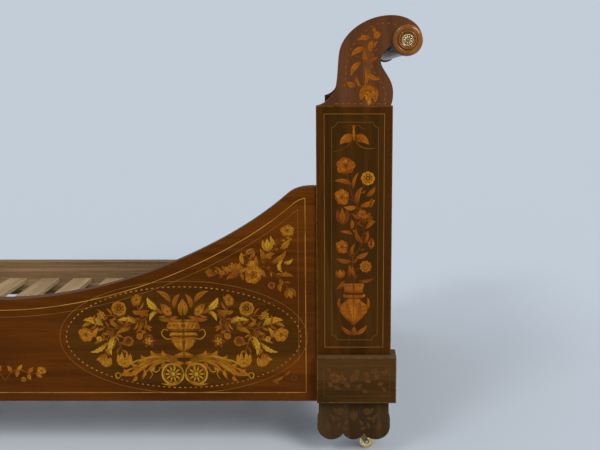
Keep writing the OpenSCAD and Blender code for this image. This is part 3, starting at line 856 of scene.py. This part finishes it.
def bladeShell(cut, lift):
    # carries a five-point section along the line: across -1, -1, 0, 1, 1 times the half-width,
    # low at the outer two; the third result is the attribute's value at each point
    line, half, tone, closed = cut
    half = np.maximum(half, leastHalf)
    if closed:
        run = np.roll(line, -1, axis=0) - np.roll(line, 1, axis=0)
        run = run / np.linalg.norm(run, axis=1)[:, None]
    else:
        run = wayOf(line)
    n = len(line)
    place = line[:, None, :] + leftOf(run)[:, None, :] * (half[:, None] * ringAcross)[:, :, None]
    rise = np.array([sunk, proud + lift, proud + lift + crown, proud + lift, sunk])
    rise = np.broadcast_to(rise[None, :, None], (n, 5, 1))
    points = np.concatenate([place, rise], axis=2).reshape(-1, 3)
    stations = np.arange(n if closed else n - 1)
    i, j = np.meshgrid(stations, np.arange(5), indexing="ij")
    after, beside = (i + 1) % n, (j + 1) % 5
    faces = np.stack([i * 5 + j, after * 5 + j, after * 5 + beside, i * 5 + beside], axis=2)
    faces = faces.reshape(-1, 4).tolist()
    if not closed:
        faces += [[0, 1, 2, 3, 4], [(n - 1) * 5 + k for k in (4, 3, 2, 1, 0)]]
    along = np.broadcast_to(np.linspace(0, 1, n)[:, None], (n, 5))
    across = np.broadcast_to(ringAcross, (n, 5))
    return points, faces, np.stack([np.full((n, 5), tone), along, across], axis=2).reshape(-1, 3)


def stackLevels(cuts):
    # a cut lies one level above the highest earlier cut whose box meets its own
    boxes = np.array([[cut[0].min(axis=0) - cut[1].max(), cut[0].max(axis=0) + cut[1].max()] for cut in cuts])
    levels = np.zeros(len(cuts), int)
    for k in range(1, len(cuts)):
        meets = np.all((boxes[:k, 0] < boxes[k, 1]) & (boxes[:k, 1] > boxes[k, 0]), axis=1)
        levels[k] = levels[:k][meets].max(initial=-1) + 1
    return levels


def layCuts(name, cuts, origin, axes, material):
    # all the cuts of one panel in one piece
    shells = [bladeShell(cut, levelRise * level) for cut, level in zip(cuts, stackLevels(cuts))]
    makePiece(name, joined([shell[:2] for shell in shells]), origin, axes, material,
              smoothAngle=0.3, cut=np.vstack([shell[2] for shell in shells]))


def layGround(name, line, half, origin, axes, material):
    # a field of darker veneer under the cuts, let in just proud of the wood round it
    shell = bladeShell((line, half, 0, False), groundProud - proud)[:2]
    makePiece(name, shell, origin, axes, material, smoothAngle=0.3)


# Marquetry: the posts.
# Places are across the post from its inner edge and up from its foot.

postInlay = {
    "outerLine": (22, 155, 184, 802, 0.7, 0.24),
    "innerLine": {"left": 42, "right": 168, "bottom": 176, "top": 780, "corner": 14, "half": 0.45,
                  "tone": 0.04},
    "leaves": [  # base, tip, half-width, tone; the same in every table of leaves
        (100, 745, 64, 720, 11, 0.56), (106, 745, 142, 720, 11, 0.54), (96, 612, 50, 622, 7, 0.44),
        (100, 600, 115, 645, 5, 0.48), (135, 580, 160, 607, 7, 0.42), (110, 560, 125, 606, 8, 0.40),
        (120, 555, 160, 570, 8, 0.55), (110, 551, 75, 551, 7, 0.60), (95, 490, 96, 517, 6, 0.45),
        (135, 490, 162, 511, 6, 0.45), (100, 474, 64, 482, 5, 0.42), (125, 450, 106, 492, 6, 0.35),
        (130, 450, 141, 485, 5, 0.38), (95, 415, 106, 450, 5, 0.40), (108, 411, 142, 426, 7, 0.46),
        (96, 400, 54, 408, 7, 0.38), (87, 355, 90, 392, 5, 0.36), (106, 355, 100, 387, 5, 0.34),
        (115, 345, 158, 352, 5, 0.36), (77, 346, 54, 322, 6, 0.36)],
    "stems": [
        [(102, 338), (100, 375), (100, 410), (124, 446), (130, 490), (122, 520)],
        [(122, 446), (112, 480), (108, 520), (114, 555), (122, 595), (138, 616)],
        [(100, 410), (84, 425), (70, 440)], [(101, 375), (118, 380), (134, 385)],
        [(112, 552), (96, 585), (84, 640)], [(108, 535), (92, 530), (74, 522)],
        [(114, 560), (96, 570), (76, 576)], [(130, 455), (140, 452), (150, 450)],
        [(101, 372), (84, 368), (66, 362)]],
    "flowers": [
        ("rose", (80, 663), 26, 0.46), ("rose", (70, 578), 22, 0.54), ("rose", (70, 440), 19, 0.50),
        ("ringRose", (140, 629), 19, 0.84), ("daisy", (135, 385), 17, 0.52),
        ("fan", (128, 512), 75, 30, 0.34, 150, 7), ("rose", (126, 530), 15, 0.42),
        ("tulip", (72, 502), (70, 548), 14, 0.32), ("bud", (149, 434), (151, 466), 9, 0.44),
        ("tulip", (66, 352), (64, 378), 11, 0.46), ("bud", (146, 548), (152, 575), 6, 0.45)],
    "butterfly": [
        ("leaf", (102, 728), (101, 772), 3.4, 0.60, 0.0), ("disc", (101, 768), 4.5, 0.48),
        ("stem", [(103, 768), (112, 772), (122, 766), (130, 762)], 0.7, 0.4),
        ("stem", [(100, 768), (92, 773), (82, 768), (74, 764)], 0.7, 0.3),
        ("leaf", (106, 738), (130, 730), 5, 0.42, -0.1), ("leaf", (98, 738), (74, 728), 5, 0.46, 0.1),
        ("stem", [(105, 730), (120, 715), (140, 709), (160, 711)], 0.9, 0.62),
        ("stem", [(96, 726), (76, 710), (46, 700)], 0.9, 0.36)],
    "urn": [  # two handles, three leaves under it
        ("shape", 102, [310, 313, 320, 334, 337], [22, 27, 25, 29, 27], 0.50),
        ("shape", 102, [295, 297, 303, 305], [22, 26, 25, 20], 0.42),
        ("shape", 102, [219, 226, 240, 258, 272, 284, 294], [2, 9, 24, 38, 41, 26, 14], 0.50),
        ("leaf", (102, 292), (102, 226), 11, 0.60, 0.0), ("leaf", (84, 282), (98, 232), 7, 0.44, -0.06),
        ("leaf", (120, 282), (106, 232), 7, 0.44, 0.06), ("leaf", (66, 262), (64, 298), 4, 0.42, 0.12),
        ("leaf", (138, 262), (140, 298), 4, 0.46, -0.12), ("leaf", (102, 192), (68, 216), 6, 0.38, 0.10),
        ("leaf", (104, 192), (140, 219), 6, 0.42, -0.10), ("leaf", (103, 188), (103, 216), 7, 0.36, 0.0),
        ("disc", (130, 303), 4, 0.7), ("disc", (76, 303), 4, 0.4),
        ("line", [(78, 313), (126, 313)], 0.7, 0.15), ("line", [(78, 331), (126, 331)], 0.7, 0.15)]}


def postCuts():
    # the bouquet on its stems, a butterfly over it and the urn that it stands in
    p = postInlay
    cuts = [stemCut(points, 1.0, 0.30) for points in p["stems"]]
    for points in p["stems"][:2]:
        cuts += sprigCuts(points, 22, 17, 3.0, 0.26)
    cuts += leavesOf(p["leaves"], 0.10, 0.9)
    return cuts + drawn(p["flowers"] + p["butterfly"] + p["urn"])


def postLines():
    # a pale frame, and inside it a faint loop with hollow corners
    cuts = frameCuts(*postInlay["outerLine"])
    c = postInlay["innerLine"]
    a = np.radians(np.linspace(0, 90, 9))
    hollow = np.stack([np.cos(a), np.sin(a)], axis=1) * c["corner"]
    loop = np.vstack([hollow[::-1] + (c["left"], c["bottom"]), hollow * (-1, 1) + (c["right"], c["bottom"]),
                      -hollow[::-1] + (c["right"], c["top"]), hollow * (1, -1) + (c["left"], c["top"])])
    return cuts + [(loop, np.full(len(loop), c["half"]), c["tone"], True)]


# Marquetry: plinths, feet and scrolls.

plinthInlay = {
    "line": (20, 21, 203, 110, 0.8, 0.38),
    "stems": [
        [(32, 42), (60, 55), (92, 60), (124, 70), (158, 66), (192, 84)], [(60, 55), (54, 72), (44, 86)],
        [(124, 70), (140, 86), (160, 92)], [(92, 60), (108, 46), (130, 40)],
        [(158, 66), (172, 50), (190, 44)]],
    "flowers": [
        ("rose", (50, 74), 18, 0.34), ("rose", (160, 92), 10, 0.30), ("daisy", (33, 96), 7, 0.30),
        ("tulip", (190, 84), (196, 100), 6, 0.30), ("daisy", (112, 92), 8, 0.32)],
    "leaves": [
        (40, 44, 28, 64, 5, 0.30), (46, 50, 64, 38, 5, 0.28), (66, 58, 80, 76, 6, 0.34),
        (74, 58, 92, 44, 6, 0.30), (92, 62, 100, 88, 6, 0.32), (104, 64, 118, 88, 6, 0.30),
        (108, 46, 124, 56, 5, 0.27), (130, 70, 150, 58, 6, 0.32), (140, 70, 132, 92, 6, 0.30),
        (160, 68, 176, 82, 6, 0.33), (168, 58, 186, 60, 5, 0.28), (182, 78, 194, 98, 5, 0.30),
        (128, 40, 142, 32, 4, 0.26), (80, 58, 70, 92, 5, 0.28), (184, 46, 196, 34, 4, 0.26)]}

scrollInlay = {
    "stems": [[(142, 50), (136, 80), (128, 108), (127, 135), (138, 158), (150, 176), (160, 190)],
              [(128, 120), (116, 128), (98, 134)], [(138, 158), (126, 162), (114, 170)]],
    "leaves": [
        (146, 176, 112, 171, 8, 0.54), (146, 138, 152, 172, 8, 0.58), (134, 150, 94, 130, 9, 0.56),
        (140, 110, 130, 148, 7, 0.50), (122, 115, 94, 79, 9, 0.58), (130, 106, 130, 54, 8, 0.54),
        (134, 92, 172, 70, 8, 0.56), (108, 54, 82, 64, 9, 0.52), (108, 84, 121, 50, 6, 0.46),
        (154, 150, 164, 170, 5, 0.52), (150, 178, 172, 190, 6, 0.50), (160, 190, 154, 208, 6, 0.50),
        (140, 126, 164, 128, 6, 0.44)],
    "flowers": [
        ("tulip", (146, 56), (138, 8), 22, 0.58), ("petal", (145, 52), -140, 6, 34, 8, 0.46),
        ("rose", (146, 38), 16, 0.56), ("leaf", (146, 18), (140, 2), 5, 0.9, 0.0),
        ("daisy", (162, 186), 9, 0.58)],
    "topRun": [(75, 50), (80, 75), (80, 100), (85, 120), (90, 140), (98, 157), (110, 172), (126, 190),
               (142, 204), (160, 213), (180, 216), (202, 214), (222, 208), (240, 198)],
    "backRun": [(182, 12), (186, 30), (180, 50), (168, 72), (154, 92), (148, 112), (150, 132), (162, 150)],
    "bottomRun": [(52, 6), (188, 6)],
    "dash": (8, 16, 1.0, 0.56)}  # length, pitch, half-width, tone


def dashCuts(points, length, pitch, half, tone):
    return [lineCut(at, half, tone) for at in dashPlaces(throughPoints(points, 8), length, pitch)]


def plinthCuts():
    p = plinthInlay
    cuts = frameCuts(*p["line"]) + [stemCut(points, 0.8, 0.22) for points in p["stems"]]
    return cuts + leavesOf(p["leaves"], 0.12, 1.2) + drawn(p["flowers"])


footInlay = {
    "middle": 103,
    "sprig": [
        ("stem", [(26, -100), (42, -80), (50, -52), (64, -30)], 0.8, 0.24),
        ("stem", [(42, -80), (62, -84), (78, -76)], 0.7, 0.22), ("rose", (66, -34), 11, 0.34)],
    "leaves": [  # base and tip
        (32, -94, 22, -74), (40, -84, 28, -60), (48, -66, 34, -42), (50, -58, 68, -56), (56, -42, 44, -22),
        (60, -84, 66, -68), (70, -80, 86, -88), (76, -76, 90, -62)],
    "bud": [("tulip", (103, -62), (103, -30), 9, 0.26)]}


def footCuts():
    # two faint sprigs that climb over the outer lobes, mirrored about the middle of the foot, with a bud
    # between them; heights are below the plinth's lower edge
    p = footInlay
    leaves = [(*row, 4.5, 0.27 + 0.02 * (k % 3)) for k, row in enumerate(p["leaves"])]
    cuts = drawn(p["sprig"]) + leavesOf(leaves, 0.12)
    return cuts + mirrored(cuts, p["middle"]) + drawn(p["bud"])


def scrollCuts():
    p = scrollInlay
    cuts = [stemCut(points, 1.0, 0.36) for points in p["stems"]]
    cuts += leavesOf(p["leaves"], 0.14, 0.8) + drawn(p["flowers"])
    for run in ("topRun", "backRun", "bottomRun"):
        cuts += dashCuts(p[run], *p["dash"])
    return cuts


# Marquetry: the rail.
# Places are along the rail from its post towards mid bed, and up from its lower edge.

railInlay = {
    "height": 611.0, "low": 295.0, "middle": 880.0,
    "spandrelLeaves": [
        (112, 450, 126, 476, 6, 0.86), (150, 406, 156, 440, 6, 0.50), (144, 410, 114, 426, 6, 0.52),
        (125, 400, 84, 434, 8, 0.50), (106, 362, 64, 361, 6, 0.46), (96, 361, 84, 377, 4, 0.50),
        (95, 350, 106, 334, 5, 0.44), (101, 342, 99, 318, 6, 0.50), (190, 402, 160, 389, 6, 0.82),
        (196, 395, 166, 402, 5, 0.76), (200, 395, 206, 430, 6, 0.72), (152, 384, 140, 360, 6, 0.46),
        (160, 388, 166, 420, 6, 0.48), (225, 366, 250, 352, 5, 0.44), (214, 372, 204, 350, 5, 0.44),
        (182, 412, 172, 436, 5, 0.50), (240, 378, 262, 392, 5, 0.46), (262, 370, 282, 388, 4, 0.42),
        (284, 372, 300, 386, 4, 0.44), (276, 368, 300, 358, 4, 0.40), (86, 470, 66, 462, 5, 0.50)],
    "spandrelStems": [
        [(146, 390), (126, 375), (106, 360), (90, 345), (78, 328)], [(146, 390), (170, 386), (192, 392)],
        [(146, 390), (140, 410), (112, 445), (86, 476)], [(192, 392), (224, 372), (258, 368), (300, 374)],
        [(140, 410), (137, 424), (136, 440)], [(170, 386), (186, 410), (194, 424)]],
    "medalLeaves": [  # with the number of teeth
        (376, 248, 370, 298, 9, 0.56, 0), (350, 270, 366, 312, 9, 0.54, 0),
        (340, 286, 300, 320, 10, 0.58, 0), (305, 268, 275, 302, 11, 0.95, 6),
        (300, 262, 280, 234, 7, 0.92, 0), (280, 266, 234, 265, 8, 0.55, 0),
        (280, 250, 240, 256, 6, 0.50, 0), (345, 246, 304, 240, 8, 0.55, 0),
        (334, 260, 315, 282, 7, 0.50, 0), (246, 236, 219, 251, 7, 0.58, 0),
        (240, 229, 190, 236, 8, 0.90, 5), (255, 236, 239, 199, 7, 0.52, 0),
        (226, 211, 185, 195, 8, 0.56, 0), (195, 219, 169, 241, 7, 0.54, 0),
        (150, 221, 94, 236, 12, 0.84, 6), (126, 186, 136, 216, 7, 0.90, 0),
        (181, 190, 169, 134, 10, 0.95, 5), (156, 171, 109, 144, 8, 0.92, 5),
        (210, 214, 214, 242, 6, 0.54, 0), (166, 200, 146, 200, 6, 0.62, 0),
        (150, 150, 176, 160, 5, 0.72, 0), (262, 214, 286, 214, 6, 0.52, 0),
        (268, 196, 252, 206, 5, 0.56, 0), (320, 256, 300, 276, 6, 0.60, 0),
        (116, 226, 90, 216, 6, 0.60, 0), (130, 226, 128, 252, 6, 0.55, 0),
        (360, 246, 334, 232, 6, 0.62, 0)],
    "medalStems": [
        [(345, 246), (330, 250), (296, 265), (260, 236), (225, 225), (175, 211), (136, 225), (110, 226)],
        [(175, 211), (160, 180), (150, 135)], [(260, 236), (265, 210), (272, 186)], [(175, 211), (176, 176)],
        [(225, 225), (206, 244), (196, 268)], [(260, 236), (250, 262), (245, 292)],
        [(175, 211), (196, 160), (204, 124)], [(160, 180), (128, 186), (104, 194)],
        [(206, 244), (170, 250), (146, 250)]],
    "spandrelFlowers": [
        ("rose", (80, 490), 19, 0.60), ("tulip", (134, 432), (136, 468), 13, 0.84),
        ("leaf", (100, 440), (74, 467), 10, 0.62, 0.1, 5), ("rose", (175, 366), 27, 0.62),
        ("rose", (175, 366), 13, 0.40, 5, 0, -0.2), ("leaf", (94, 372), (92, 408), 6, 0.88, -0.3, 4),
        ("leaf", (92, 402), (66, 412), 5, 0.84, 0.25), ("tulip", (78, 328), (70, 298), 14, 0.48),
        ("ringRose", (125, 336), 10, 0.48), ("bud", (196, 424), (172, 440), 7, 0.60),
        ("fan", (226, 368), 96, 34, 0.56, 120, 7), ("daisy", (300, 374), 8, 0.44, 6),
        ("rose", (262, 372), 9, 0.50)],
    "cornerSprig": [
        ("stem", [(146, 56), (112, 66), (84, 82)], 0.8, 0.30), ("leaf", (126, 61), (94, 74), 4.5, 0.42),
        ("leaf", (130, 59), (108, 50), 3.2, 0.38, -0.12), ("leaf", (96, 75), (74, 92), 3.2, 0.34),
        ("ringRose", (65, 68), 9, 0.26)],
    "medalFlowers": [
        ("rose", (245, 295), 16, 0.54), ("ringRose", (195, 270), 21, 0.66),
        ("daisy", (145, 250), 12, 0.68, 7), ("rose", (100, 195), 22, 0.64),
        ("bud", (132, 176), (142, 190), 8, 0.88),
        ("ringRose", (218, 176), 15, 0.46), ("daisy", (250, 190), 10, 0.56), ("star", (275, 176), 21, 0.78),
        ("peony", (205, 112), 22, 0.68), ("tulip", (155, 100), (154, 132), 13, 0.78),
        ("rose", (330, 262), 14, 0.60), ("fan", (150, 132), -100, 26, 0.72, 110, 6)],
    "middleSpray": [
        ("stem", [(880, 60), (862, 84), (836, 92), (806, 80), (780, 88)], 1.0, 0.5),
        ("leaf", (862, 84), (872, 104), 6, 0.58, 0.1), ("leaf", (846, 92), (830, 108), 6, 0.8, 0.1, 5),
        ("leaf", (840, 92), (846, 70), 6, 0.55, 0.1), ("leaf", (816, 84), (800, 100), 6, 0.56, 0.1),
        ("leaf", (812, 82), (808, 62), 6, 0.58, 0.1), ("leaf", (792, 84), (774, 70), 5, 0.6, 0.1),
        ("rose", (776, 90), 13, 0.66), ("daisy", (828, 64), 8, 0.6, 7)]}


medallion = (373, 186, 328, 146)   # its middle's x and z, and its half-axes


def railEdgeLine(inset, start):
    # the rail's top edge, moved square to itself by the inset: three Bezier stretches from post to mid bed
    h, low = railInlay["height"], railInlay["low"]
    edge = np.vstack([bezier((0, h), (40, h + 2), (62, h - 6), (82, h - 23), 13)[:-1],
                      bezier((82, h - 23), (172, h - 102), (288, h - 166), (408, h - 216), 25)[:-1],
                      bezier((408, h - 216), (558, h - 279), (730, low), (880, low), 21)])
    line = edge - leftOf(wayOf(edge)) * inset
    x = np.linspace(start, railInlay["middle"], 60)
    return np.stack([x, np.interp(x, line[:, 0], line[:, 1])], axis=1)


def spandrelCuts():
    # the spray that fills the rail's high end, and the small one in its lower corner
    p = railInlay
    cuts = [stemCut(points, 0.9, 0.42) for points in p["spandrelStems"]]
    for points in p["spandrelStems"]:
        cuts += sprigCuts(points, 16, 15, 2.8, 0.46)
    cuts += leavesOf([(*row, 5 if row[5] > 0.8 else 0) for row in p["spandrelLeaves"]], 0.12)
    return cuts + drawn(p["spandrelFlowers"] + p["cornerSprig"])


medalUrn = {
    "shapes": [  # heights, half-widths, tone: lid, neck, body, foot
        ([204, 208, 213, 226, 230, 234, 239], [30, 42, 48, 44, 40, 42, 34], 0.46),
        ([190, 193, 197, 201], [36, 40, 38, 34], 0.66),
        ([144, 150, 162, 176, 188], [6, 14, 26, 34, 32], 0.44),
        ([128, 132, 138, 144], [40, 34, 20, 8], 0.56)],
    "bands": [  # half-length, height, tone
        (43, 209, 0.10), (43, 214, 0.80), (41, 221, 0.12), (39, 228, 0.78), (37, 233, 0.14),
        (33, 180, 0.80), (31, 171, 0.15), (34, 192, 0.12), (24, 158, 0.14), (32, 133, 0.15)],
    "gadroons": [
        (370, 147, 364, 185, 3.4, 0.74), (366, 149, 354, 184, 3.4, 0.60), (360, 153, 345, 183, 3.0, 0.70),
        (369, 206, 362, 236, 3.2, 0.70), (362, 206, 348, 234, 3.2, 0.56), (352, 207, 336, 230, 2.8, 0.68)]}


def urnCuts():
    # the urn in the medallion's middle, with gadroons on either side
    x = medallion[0]
    cuts = [shapeCut(x, *shape) for shape in medalUrn["shapes"]]
    cuts += [lineCut([(x - reach, z), (x + reach, z)], 0.9, tone) for reach, z, tone in medalUrn["bands"]]
    gadroons = [leafCut(row[0:2], row[2:4], row[4], row[5], 0.05) for row in medalUrn["gadroons"]]
    return cuts + gadroons + mirrored(gadroons, x)

carriage = {
    "wheel": (340, 80), "tyre": 30, "rim": 24, "hub": 6, "spokes": 10,
    "sweep": [(366, 98), (342, 122), (308, 129), (276, 120), (248, 98), (224, 80), (188, 76)],
    "ribs": [  # beside the sweep's middle line, half-width, tone
        (-10, 1.1, 0.58), (-7, 0.9, 0.42), (-4, 1.1, 0.72), (-1, 0.9, 0.44),
        (2, 1.1, 0.70), (5, 0.9, 0.46), (8, 1.1, 0.76), (11, 1.0, 0.60)],
    "lobes": [  # base, way to the tip, half-width
        (330, 130, -18, 20, 7), (300, 134, -20, 16, 7), (272, 124, -20, 12, 7), (246, 104, -22, 10, 6),
        (222, 84, -20, 12, 6), (344, 116, -4, -18, 6), (312, 116, -6, -20, 7), (284, 108, -8, -20, 7),
        (260, 94, -8, -22, 6), (236, 76, -12, -16, 6)],
    "blades": [
        (318, 128, 238, 108, 2.6, 0.84), (302, 126, 220, 72, 3.4, 0.60), (330, 118, 262, 82, 3.0, 0.66),
        (282, 120, 206, 97, 2.4, 0.80), (252, 100, 184, 62, 3.0, 0.62), (344, 110, 296, 88, 2.8, 0.50),
        (290, 116, 232, 70, 2.2, 0.74), (310, 112, 250, 60, 2.4, 0.56)],
    "curls": [  # half-width, tone, points
        (1.8, 0.9, [(304, 100), (300, 90), (290, 86), (284, 92), (288, 98)]),
        (1.8, 0.9, [(196, 78), (184, 84), (178, 76), (184, 68), (191, 72)]),
        (1.6, 0.8, [(276, 104), (276, 92), (282, 80), (274, 66)]),
        (1.6, 0.8, [(256, 96), (262, 82), (256, 66)]),
        (2.0, 0.84, [(346, 186), (326, 182), (312, 196), (318, 210), (330, 206)])]}


def wheelCuts():
    x, z = carriage["wheel"]
    tyre, rim, hub = carriage["tyre"], carriage["rim"], carriage["hub"]
    cuts = [hoopCut((x, z), tyre, tyre, 2.4, 0.92, 64), hoopCut((x, z), rim, rim, 1.0, 0.55, 48),
            discCut((x, z), hub, 0.95)]
    for k in range(carriage["spokes"]):
        a = 2 * math.pi * k / carriage["spokes"]
        cuts.append(leafCut((x + hub * math.cos(a), z + hub * math.sin(a)),
                            (x + rim * math.cos(a), z + rim * math.sin(a)), 2.6, 0.86, 0.0))
    return cuts


def carriageCuts():
    # half of the foliage carriage under the urn: a ribbed acanthus sweep with lobes, blades and curls, and a
    # spoked wheel; the last curl is the urn's scrolled handle
    c = carriage
    sweep = throughPoints(c["sweep"])
    side = leftOf(wayOf(sweep))
    swell = np.sin(np.pi * np.linspace(0, 1, len(sweep)) ** 0.7)[:, None]
    cuts = [(sweep, 13 * swell[:, 0] ** 0.6, 0.30, False)]
    for offset, half, tone in c["ribs"]:
        cuts.append((sweep + side * swell * offset, np.maximum(half * swell[:, 0] ** 0.4, 0.2), tone, False))
    cuts += [leafCut((x, z), (x + dx, z + dz), half, 0.62, 0.22, 4) for x, z, dx, dz, half in c["lobes"]]
    cuts += [leafCut(row[0:2], row[2:4], row[4], row[5], -0.14) for row in c["blades"]]
    cuts += [stemCut(points, half, tone) for half, tone, points in c["curls"]]
    return cuts + wheelCuts() + [leafCut((366, 60), (306, 52), 4, 0.7, 0.1),
                                 leafCut((373, 112), (345, 112), 5, 0.6, 0.0)]


def medallionCuts():
    # the bouquet's near half; the other half is its mirror image
    p = railInlay
    cuts = [stemCut(points, 1.0, 0.50) for points in p["medalStems"]]
    for points in p["medalStems"]:
        cuts += sprigCuts(points, 12, 23, 3.2, 0.44)
    leaves = []
    for k, (*ways, half, tone, teeth) in enumerate(p["medalLeaves"]):
        # the toothed ones stay broad and bright, the plain ones are slimmer and vary in tone
        shaped = (half * 0.95, tone) if teeth else (half * 0.74, tone - 0.05 * (k % 4))
        leaves.append((*ways, *shaped, teeth))
    return cuts + leavesOf(leaves, 0.14) + drawn(p["medalFlowers"]) + carriageCuts()


def wholeMedallion():
    half = medallionCuts()
    return half + mirrored(half, medallion[0]) + urnCuts()


railString = {"outer": 31, "inner": 51, "bottom": 25, "innerBottom": 120}
medalRing = {"outX": 18, "outZ": 16}   # how far a faint ring lies outside the dashes
medalDash = {"length": 6, "pitch": 15.0, "half": 1.4}


def railLines():
    # stringing beside the post, along the bottom and under the sweep, and the rings of the medallion
    c = railString
    outer = railEdgeLine(c["outer"] - 1, c["outer"])
    inner = railEdgeLine(c["inner"] - 1, c["inner"])
    cuts = [ribbon(outer, 1.0, 0.78), ribbon(inner, 0.5, 0.20),
            lineCut([(c["outer"], c["bottom"]), (c["outer"], outer[0][1])], 1.0, 0.60, 14),
            lineCut([(c["inner"], c["innerBottom"]), (c["inner"], inner[0][1])], 0.5, 0.20, 14),
            lineCut([(c["outer"] + 1, c["bottom"]), (railInlay["middle"], c["bottom"])], 0.9, 0.72, 30)]
    return cuts + [ringCut()] + ovalDashes()


def ringCut():
    x, z, rx, rz = medallion
    return hoopCut((x, z), rx + medalRing["outX"], rz + medalRing["outZ"], 0.5, 0.26, 160)


def ovalDashes():
    # dashes at an even pitch round the medallion, duller towards the post
    x, z, rx, rz = medallion
    turns = np.linspace(0, 2 * np.pi, 2000)
    ellipse = np.stack([x + rx * np.cos(turns), z + rz * np.sin(turns)], axis=1)
    return [lineCut(at, medalDash["half"], 0.24 + 0.34 * min(at[0][0] / 300, 1.0))
            for at in dashPlaces(ellipse, medalDash["length"], medalDash["pitch"])]


def postField():
    # the middle line and half-widths of the ground inside the post's frame
    left, bottom, right, top = postInlay["outerLine"][:4]
    middle = (left + right) / 2
    return np.array([(middle, bottom), (middle, top)], float), np.full(2, (right - left) / 2)


def ovalOutline():
    # half-width of an ellipse's level axis: rz sin a, at x + rx cos a
    x, z, rx, rz = medallion
    a = np.linspace(math.pi, 0, 61)
    return np.stack([x + rx * np.cos(a), np.full(61, float(z))], axis=1), rz * np.sin(a)


def layMarquetry():
    for side, sx in ends.items():
        inner = sx * postLow.x
        across = ((sx, 0, 0), (0, 0, 1), (0, -1, 0))
        postStart = (inner, postLow.y, postLow.z)
        layCuts("post_lines_" + side, postLines(), postStart, across, stringing)
        layCuts("post_bouquet_" + side, postCuts(), postStart, across, postInlayed)
        layCuts("plinth_spray_" + side, plinthCuts(), (inner, plinthLow.y, plinthLow.z), across, dullInlay)
        layCuts("foot_sprigs_" + side, footCuts(), (inner, footLow.y, plinthLow.z), across, fadedInlay)
        layCuts("scroll_spray_" + side, scrollCuts(), (inner, scrollLow.y, postHigh.z), across, postInlayed)
        layGround("post_field_" + side, *postField(), postStart, across, fieldWood)
        along = ((-sx, 0, 0), (0, 0, 1), (0, -1, 0))
        railStart = (inner, railLow.y, railLow.z)
        layGround("rail_oval_" + side, *ovalOutline(), railStart, along, ovalWood)
        layCuts("rail_lines_" + side, railLines(), railStart, along, stringing)
        layCuts("rail_spandrel_" + side, spandrelCuts(), railStart, along, inlay)
        layCuts("rail_medallion_" + side, wholeMedallion(), railStart, along, inlay)
        layCuts("rail_middle_" + side, drawn(railInlay["middleSpray"]), railStart, along, inlay)


endFrames = ((545, 250, 1.0, 0.7), (520, 225, 0.5, 0.3))   # half-length, half-height, half-width, tone
endRaise = 0.02   # metres that the medallion lies above mid-panel


def layEndPanels():
    # the outer faces of the ends: a medallion like the rail's, inside two lines
    x, z = medallion[:2]
    lines = []
    for dx, dz, half, tone in endFrames:
        lines += frameCuts(x - dx, z - dz, x + dx, z + dz, half, tone)
    lines += ovalDashes() + [ringCut()]
    for side, sx in ends.items():
        faceX = max(panelHigh.x, abs(panelLow.x)) * sx
        axes = ((0, sx, 0), (0, 0, 1), (sx, 0, 0))
        start = (faceX, -sx * x * mm, (postHigh.z + railLow.z) / 2 + endRaise - z * mm)
        layGround("end_oval_" + side, *ovalOutline(), start, axes, ovalWood)
        layCuts("end_medallion_" + side, wholeMedallion(), start, axes, inlay)
        layCuts("end_lines_" + side, lines, start, axes, stringing)

fieldWood = makeWood("fieldWalnut", fieldWalnut, "z")
ovalWood = makeWood("ovalVeneer", ovalVeneer, "x")
layMarquetry()
layEndPanels()
print("marquetry laid")


# Floor, light and camera.

skyColour = (0.545, 0.61, 0.69)
suns = {  # where each comes from, strength, width of its soft edge in degrees, colour
    "softKey": ((0.55, -0.75, 0.62), 1.9, 25, (1.0, 0.985, 0.96)),
    "softFill": ((-0.55, -0.75, 0.85), 0.6, 18, (0.96, 0.98, 1.0))}


def makeSuns():
    # returns what the suns add to the light on a level floor, by colour
    added = np.zeros(3)
    for name, (source, strength, width, colour) in suns.items():
        source = Vector(source).normalized()
        data = bpy.data.lights.new(name, "SUN")
        data.energy = strength
        data.angle = math.radians(width)
        data.color = colour
        light = bpy.data.objects.new(name, data)
        light.rotation_mode = "QUATERNION"
        light.rotation_quaternion = (-source).to_track_quat("-Z", "Y")
        bpy.context.scene.collection.objects.link(light)
        added += np.array(colour) * strength * source.z / math.pi
    return added


floorShape = {"radius": 60000, "thick": 40, "turns": 96}


def makeFloor(sunlight):
    # the floor's colour makes the lit floor as bright as the sky, so that no horizon shows
    r, low = floorShape["radius"], -floorShape["thick"]
    points, faces = turned([(1, low), (r, low), (r, 0), (1, 0)], floorShape["turns"])
    mesh = bpy.data.meshes.new("floor")
    mesh.from_pydata(points * mm, [], faces)
    floor = bpy.data.objects.new("floor", mesh)
    bpy.context.scene.collection.objects.link(floor)
    material = bpy.data.materials.new("paleFloor")
    material.use_nodes = True
    shader = material.node_tree.nodes["Principled BSDF"]
    sky = np.array(skyColour)
    shader.inputs["Base Color"].default_value = solidColour(sky / (sky + sunlight))
    shader.inputs["Roughness"].default_value = 1.0
    shader.inputs["Specular IOR Level"].default_value = 0.0
    mesh.materials.append(material)


def makeWorld():
    world = bpy.data.worlds.new("paleStudio")
    bpy.context.scene.world = world
    world.use_nodes = True
    world.node_tree.nodes["Background"].inputs["Color"].default_value = solidColour(skyColour)


view = {"place": (0.95, -3.015, 1.077), "down": 9.7, "lens": 53, "shift": -0.07}   # metres and degrees


def makeCamera():
    data = bpy.data.cameras.new("camera")
    data.sensor_width = 36
    data.lens = view["lens"]
    data.shift_x = view["shift"]
    data.clip_end = 200
    camera = bpy.data.objects.new("camera", data)
    camera.location = view["place"]
    camera.rotation_euler = (math.radians(90 - view["down"]), 0, 0)
    bpy.context.scene.collection.objects.link(camera)
    bpy.context.scene.camera = camera


makeWorld()
makeFloor(makeSuns())
makeCamera()
bpy.context.scene.view_settings.view_transform = "Standard"
print("studio ready")
